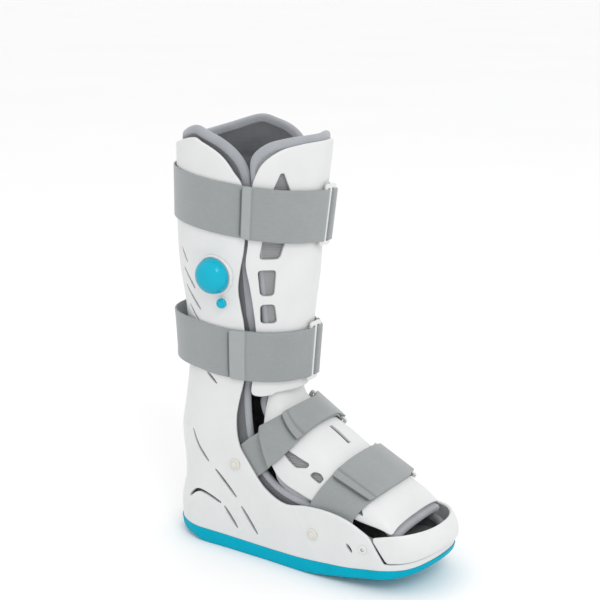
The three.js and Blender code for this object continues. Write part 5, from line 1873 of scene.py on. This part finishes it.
def foot_surface(form, w, lift, row):
    """The cover's face under a foot strap and the gap beside the shell where its ends are tucked."""
    s = sizes()
    middle = s.shell_wall + s.strap_room / 2 + s.cover_wall / 2 + lift + 0.8 * MM + w.strap_thickness / 2

    def surface(q, across):
        q, across = np.broadcast_arrays(q, across)
        inside = np.clip(q, -COVER_EDGE, COVER_EDGE)
        first = row["front"] + row["front_skew"] * inside * inside
        second = row["rear"] + row["rear_skew"] * inside * inside
        point = form.cover(first + (second - first) * across, inside)
        tucked = np.maximum(np.abs(q) - COVER_EDGE, 0)
        y = point[..., 1] + row["back"] * w.tuck_length * tucked
        z = point[..., 2] - row["down"] * w.tuck_length * tucked
        settled = np.clip((tucked - 0.55) / 0.4, 0, 1)
        inwards = middle + s.strap_room * (row["inset"] + row["twist"] * across) * (1 - settled)
        wall = np.sign(q) * (form.half_width(y, z) - inwards)
        x = point[..., 0] + (wall - point[..., 0]) * np.minimum(3 * tucked, 1)
        return np.stack([np.where(tucked > 0, x, point[..., 0]), y, z], axis=-1)

    return surface


class BOOT_OT_foot_straps(BootOperator, bpy.types.Operator):
    """Lay the straps over the instep and the forefoot, with their tabs and rings"""

    bl_idname = "boot.foot_straps"
    bl_label = "Foot Straps"

    def build(self, context):
        w = context.scene.webbing_sizes
        self.lay_strap("instep", w, w.instep_strap_width, w.instep_lift)
        self.lay_strap("forefoot", w, w.forefoot_strap_width, 0.0)

    def lay_strap(self, name, w, width, lift):
        row = FOOT_STRAPS[name]
        webbing = Webbing(w, sizes().fit)
        surface = foot_surface(self.form, w, lift, row)
        tucked = TUCKED + row["longer"]
        guide = Guide(surface, -tucked, tucked, sizes().cover_wall / 2 + lift)
        near = guide.distance_at(row["ring"])
        frame = RingFrame(webbing, guide, near, width, w.foot_ring_gap, 1.2 * MM)
        start, tab_end = guide.distance_at(-tucked + 0.1), guide.distance_at(tucked - 0.1)
        step = 2 * MM
        course = laid(start, near - webbing.bar, step, webbing.under)
        course += round_bar(webbing, frame, 1)
        course += outer_layer(webbing, near, guide.distance_at(-row["end"]), step, width, raised=1.2 * MM)
        webbing_strap(f"{name}_strap", guide, course, width, webbing, "foot_strap_cloth")
        tab = outer_layer(webbing, frame.far, frame.far + webbing.tail, step, width)[::-1]
        tab += round_bar(webbing, frame, -1)[::-1]
        tab += laid(frame.far + webbing.bar, tab_end, step, webbing.under)
        webbing_strap(f"{name}_tab", guide, tab, width, webbing, "foot_strap_cloth")
        ring_piece(f"{name}_ring", webbing, frame, width)


def edit_chosen(body, mode, parts, wanted, step):
    """Takes a step in edit mode on the parts of a mesh that are wanted."""
    hold(body)
    bpy.context.tool_settings.mesh_select_mode = mode
    mesh = body.data
    for kind in (mesh.vertices, mesh.edges, mesh.polygons):
        kind.foreach_set("select", [False] * len(kind))
    for part in parts:
        part.select = bool(wanted(part))
    bpy.ops.object.mode_set(mode="EDIT")
    step()
    bpy.ops.object.mode_set(mode="OBJECT")


def edit_faces(body, wanted, step):
    edit_chosen(body, (False, False, True), body.data.polygons, wanted, step)


def edit_edges(body, wanted, step):
    """The same on edges, which are chosen by the places of their ends."""
    points = body.data.vertices
    ends = lambda edge: wanted(*[points[v].co for v in edge.vertices])
    edit_chosen(body, (False, True, False), body.data.edges, ends, step)


def ring_piece(node, webbing, frame, width, middle=0.0):
    """A flat rectangular ring, set in a strap's ring frame. A middle bar leaves two slots."""
    hold_none()
    along = frame.gap / 2 + webbing.bar
    across = width / 2 + webbing.room + webbing.bar
    bpy.ops.mesh.primitive_cube_add(size=1)
    body = bpy.context.active_object
    body.name = body.data.name = f"{node}_moulding"
    edit_mesh(body, lambda: bpy.ops.transform.resize(value=(2 * along, 2 * across, webbing.ring_thick)))
    flat = lambda face: abs(face.normal.z) > 0.9
    slots = [0]
    if middle > 0:
        slots = [-(frame.gap + middle) / 4, (frame.gap + middle) / 4]
        lying = lambda one, two: abs(one.x - two.x) > along
        edit_edges(body, lying, lambda: bpy.ops.mesh.subdivide(number_cuts=1))
    edit_faces(body, flat, lambda: bpy.ops.mesh.inset(thickness=webbing.bar, use_individual=True))
    for vertex in body.data.vertices:
        if middle > 0 and abs(abs(vertex.co.x) - webbing.bar) < MM / 100:
            vertex.co.x = math.copysign(middle / 2, vertex.co.x)
    for slot in slots:
        near = lambda face: math.hypot(face.center.x - slot, face.center.y) < frame.gap / 8
        edit_faces(body, lambda face: flat(face) and near(face), bpy.ops.mesh.bridge_edge_loops)
    upright = lambda one, two: abs(one.z - two.z) > webbing.ring_thick / 2
    outer = lambda one, two: upright(one, two) and abs(one.x) > along - webbing.bar / 2
    edit_edges(body, outer, lambda: bpy.ops.mesh.bevel(offset=0.9 * webbing.bar, segments=6, affect="EDGES"))
    inside = lambda one: abs(one.x) < frame.gap / 2 + MM / 10 and abs(one.y) < across - webbing.bar / 2
    inner = lambda one, two: upright(one, two) and inside(one)
    edit_edges(body, inner, lambda: bpy.ops.mesh.bevel(offset=webbing.room, segments=4, affect="EDGES"))
    facing_out(body)
    use_modifier(body, "BEVEL", width=0.0007, segments=3, limit_method="ANGLE", angle_limit=math.radians(50))
    axes = np.eye(4)
    axes[:3] = np.stack([frame.right, frame.up, frame.out, frame.centre], axis=1)
    body.data.transform(Matrix(axes))
    smooth(body, 40)
    dress(body, "ring_plastic", [node])


def spun_piece(name, profile, steps):
    """Spins a profile of radius and rise about the upright axis."""
    mesh = bpy.data.meshes.new(name)
    mesh.from_pydata([(r, 0, h) for r, h in profile], [(k, k + 1) for k in range(len(profile) - 1)], [])
    body = bpy.data.objects.new(name, mesh)
    bpy.context.scene.collection.objects.link(body)
    edit_mesh(
        body, lambda: bpy.ops.mesh.spin(steps=steps, angle=2 * math.pi, center=(0, 0, 0), axis=(0, 0, 1)),
        lambda: bpy.ops.mesh.remove_doubles(threshold=0.000005))
    facing_out(body)
    return body


def stand_on_shell(body, form, y, z, side):
    """Sets a spun piece square on the shell's face; points below its foot come down to the face."""
    mesh = body.data
    local = mesh_points(mesh).astype(float)
    out = form.side_normal(np.array(y), np.array(z), side)
    right = unit(np.cross([0, 0, 1], out))
    up = np.cross(out, right)
    centre = form.side_point(np.array(y), np.array(z), side)
    rise = np.maximum(local[:, 2:], 0)
    points = centre + local[:, :1] * right + local[:, 1:2] * up + rise * out
    low = local[:, 2] < 0
    for _ in range(6):
        face = form.side_point(points[low, 1], points[low, 2], side)[:, 0]
        gap = side * points[low, 0] - side * face - sizes().fit
        points[low] -= (gap / (side * out[0]))[:, None] * out
    mesh.vertices.foreach_set("co", points.astype(np.float32).ravel())
    mesh.update()
    facing_out(body)


def fasten(name, node, form, profile, steps, place, side, degrees, look):
    """Spins a piece and sets it on the shell at a place of the side view."""
    body = spun_piece(name, profile, steps)
    stand_on_shell(body, form, *place, side)
    smooth(body, degrees)
    return dress(body, look, [node])


def rounded_step(radius, low, high, corner):
    """A profile's upright side and its rounded top corner."""
    turns = np.linspace(0, math.pi / 2, 5)
    arc = [(radius - corner + corner * math.cos(t), high - corner + corner * math.sin(t)) for t in turns]
    return [(radius, low)] + arc


class BOOT_OT_air_pump(BootOperator, bpy.types.Operator):
    """Set the air pump's bulb and its release valve on their seats"""

    bl_idname = "boot.air_pump"
    bl_label = "Air Pump"

    def build(self, context):
        t, fit = context.scene.trim_sizes, sizes().fit
        place = (0.0, t.pump_height)
        foot = t.bulb_seat_rise + fit
        sunk = t.bulb_seat_rise - 0.5 * MM
        seat = [(0, -1), (0.5 * t.bulb_seat_radius, -1), (t.bulb_seat_radius, -1)]
        seat += rounded_step(t.bulb_seat_radius, 0.2 * MM, t.bulb_seat_rise, 0.7 * MM)
        seat += [(t.bulb_radius + 0.5 * MM, t.bulb_seat_rise), (t.bulb_radius, sunk)]
        seat += [(t.bulb_radius - 1.5 * MM, sunk), (0, sunk)]
        self.set_piece("pump_seat", seat, 72, place, "seat_white", "shell")
        bulb = [(0, foot), (t.bulb_radius - 0.8 * MM, foot)]
        for turn in np.linspace(0, math.pi / 2, 22):
            radius = t.bulb_radius * math.cos(turn) ** 0.86 if turn < 1.57 else 0
            bulb.append((radius, foot + 0.8 * MM + (t.bulb_height - 0.8 * MM) * math.sin(turn) ** 0.95))
        self.set_piece("pump_bulb", bulb, 72, place, "bulb_rubber", "bulb_rubber")
        place = (-t.valve_along, t.pump_height - t.valve_drop)
        seat = [(0, -1), (t.valve_seat_radius, -1)]
        seat += rounded_step(t.valve_seat_radius, 0.2 * MM, t.valve_seat_rise, 0.5 * MM)
        seat += [(0, t.valve_seat_rise)]
        self.set_piece("valve_seat", seat, 40, place, "seat_white", "shell")
        foot = t.valve_seat_rise + fit
        r, tall = t.valve_radius, t.valve_height
        knob = [(0, foot), (r - 0.3 * MM, foot), (r, foot + 0.3 * MM)]
        knob += [(r, foot + 0.42 * tall), (0.9 * r, foot + 0.5 * tall)]
        for turn in np.linspace(0, math.pi / 2, 8):
            wide = 0.86 * r * math.cos(turn) ** 0.7 if turn < 1.57 else 0
            knob.append((wide, foot + (0.55 + 0.45 * math.sin(turn)) * tall))
        self.set_piece("valve_knob", knob, 40, place, "bulb_rubber", "bulb_rubber")

    def set_piece(self, node, profile, steps, place, look, slot):
        fasten(f"{node}_moulding", node, self.form, profile, steps, place, -1, 38, look)


# The heads' profiles above their foot, as shares of their radius and rise, and the places of the side view.
RIVET_PROFILE = [
    (0.97, 0.55), (0.88, 0.78), (0.74, 0.9), (0.68, 0.9), (0.64, 0.66), (0.58, 0.66), (0.54, 0.94), (0.3, 1),
    (0, 1),
]
SCREW_PROFILE = [(0.96, 0.7), (0.84, 1), (0.5, 1), (0.44, 0.9), (0.42, 0.25), (0, 0.2)]
RECESS_SHARE = 0.46
ANKLE_RIVET = np.array([-0.036, 0.218])
FOOT_RIVET = np.array([-0.345, 0.1007])
GUARD_SCREW = np.array([-0.53, 0.0967])


class BOOT_OT_fasteners(BootOperator, bpy.types.Operator):
    """Set the rivets and the toe guard's screws on both sides"""

    bl_idname = "boot.fasteners"
    bl_label = "Fasteners"

    def build(self, context):
        t, form = context.scene.trim_sizes, self.form
        spread = [form.long, form.high]
        rivet = self.profile(RIVET_PROFILE, t.rivet_radius, t.rivet_rise, 0.3 * MM)
        screw = self.profile(SCREW_PROFILE, t.screw_radius, t.screw_rise, 0.2 * MM)
        for label, side in (("outer", -1), ("inner", 1)):
            for kind, share in (("ankle", ANKLE_RIVET), ("foot", FOOT_RIVET)):
                node = f"{kind}_rivet_{label}"
                self.set_head(node, rivet, 40, share * spread, side, "rivet_plastic", "rivet_plastic")
            node, place = f"guard_screw_{label}", GUARD_SCREW * spread
            body = self.set_head(node, screw, 36, place, side, "ring_plastic", "screw_metal")
            body.data.materials.append(material_of("screw_metal"))
            middle = Vector(form.side_point(*place, side))
            for face in body.data.polygons:
                if (face.center - middle).length < RECESS_SHARE * t.screw_radius:
                    face.material_index = 1

    def set_head(self, node, profile, steps, place, side, look, slot):
        return fasten(f"{node}_head", node, self.form, profile, steps, place, side, 30, look)

    def profile(self, shares, radius, rise, foot):
        return [(0, -1), (radius, -1), (radius, foot)] + [(r * radius, h * rise) for r, h in shares]


# Stage


class BOOT_OT_stage(bpy.types.Operator):
    """Lay the pale floor and set the lights and the camera"""

    bl_idname = "boot.stage"
    bl_label = "Stage"
    bl_options = {"REGISTER", "UNDO"}

    def execute(self, context):
        hold_none()
        bpy.ops.mesh.primitive_plane_add(size=160, location=(0, 0, -0.0002))
        floor = context.active_object
        floor.name = "studio_floor"
        bpy.ops.object.transform_apply(location=True, rotation=False, scale=False)
        floor.data.materials.append(self.floor_material())
        self.light_up(context)
        self.set_camera(context)
        return {"FINISHED"}

    def floor_material(self):
        material, w, shader = start_material("studio_floor")
        slow = w.noise(object_places(w), 1.5, 2, 0.5)
        pale = w.mix(slow, (0.89, 0.89, 0.89, 1), (0.92, 0.92, 0.92, 1))
        w.join(pale, shader.inputs["Base Color"])
        shader.inputs["Roughness"].default_value = 0.6
        return material

    def light_up(self, context):
        lamps = [
            ("key_light", (-1.6, -1.9, 2.3), 1.1, 24),
            ("fill_light", (1.3, -1.9, 1.5), 1.2, 3),
            ("back_light", (-1.0, 2.0, 2.0), 1.6, 3),
        ]
        for name, place, size, power in lamps:
            lamp = bpy.data.lights.new(name, "AREA")
            lamp.shape = "SQUARE"
            lamp.size = size
            lamp.energy = power
            body = bpy.data.objects.new(name, lamp)
            body.location = place
            body.rotation_euler = (Vector((0, 0, 0.2)) - Vector(place)).to_track_quat("-Z", "Y").to_euler()
            context.scene.collection.objects.link(body)
        world = bpy.data.worlds.new("studio_air")
        world.use_nodes = True
        background = next(node for node in world.node_tree.nodes if node.type == "BACKGROUND")
        background.inputs["Color"].default_value = (1, 1, 1, 1)
        background.inputs["Strength"].default_value = 1.05
        context.scene.world = world
        context.scene.view_settings.view_transform = "Standard"

    def set_camera(self, context):
        camera = bpy.data.cameras.new("photo_camera")
        camera.sensor_width = 36
        camera.lens = 85.2
        body = bpy.data.objects.new("photo_camera", camera)
        look = Vector((0.023, -0.042, 0.248))
        turn, rise = math.radians(-58), math.radians(14)
        back = Vector((math.sin(turn) * math.cos(rise), -math.cos(turn) * math.cos(rise), math.sin(rise)))
        body.location = look + 1.4 * back
        body.rotation_euler = back.to_track_quat("Z", "Y").to_euler()
        context.scene.collection.objects.link(body)
        context.scene.camera = body


# Panel


class BOOT_PT_pieces(bpy.types.Panel):
    bl_idname = "BOOT_PT_pieces"
    bl_label = "Walking Boot"
    bl_space_type = "VIEW_3D"
    bl_region_type = "UI"
    bl_category = "Boot"

    def draw(self, context):
        for holder in ("boot_sizes", "webbing_sizes", "trim_sizes", "boot_colours"):
            box = self.layout.box()
            group = getattr(context.scene, holder)
            for key in group.bl_rna.properties.keys():
                if key not in ("rna_type", "name"):
                    box.prop(group, key)
        for piece in PIECES:
            self.layout.operator(piece.bl_idname)


PIECES = [
    BOOT_OT_stage,
    BOOT_OT_outsole,
    BOOT_OT_base_shell,
    BOOT_OT_shin_panel,
    BOOT_OT_foot_cover,
    BOOT_OT_toe_guard,
    BOOT_OT_boot_liner,
    BOOT_OT_shin_pad,
    BOOT_OT_foot_pad,
    BOOT_OT_calf_straps,
    BOOT_OT_foot_straps,
    BOOT_OT_air_pump,
    BOOT_OT_fasteners,
]
GROUPS = {
    "boot_sizes": BootSizes,
    "webbing_sizes": WebbingSizes,
    "trim_sizes": TrimSizes,
    "boot_colours": BootColours,
}


def register():
    for group in GROUPS.values():
        bpy.utils.register_class(group)
    for piece in PIECES:
        bpy.utils.register_class(piece)
    bpy.utils.register_class(BOOT_PT_pieces)
    for name, group in GROUPS.items():
        setattr(bpy.types.Scene, name, bpy.props.PointerProperty(type=group))


def unregister():
    for name in GROUPS:
        delattr(bpy.types.Scene, name)
    bpy.utils.unregister_class(BOOT_PT_pieces)
    for piece in reversed(PIECES):
        bpy.utils.unregister_class(piece)
    for group in GROUPS.values():
        bpy.utils.unregister_class(group)


def main():
    register()
    for piece in PIECES:
        place, name = piece.bl_idname.split(".")
        getattr(getattr(bpy.ops, place), name)()


if __name__ == "__main__":
    main()
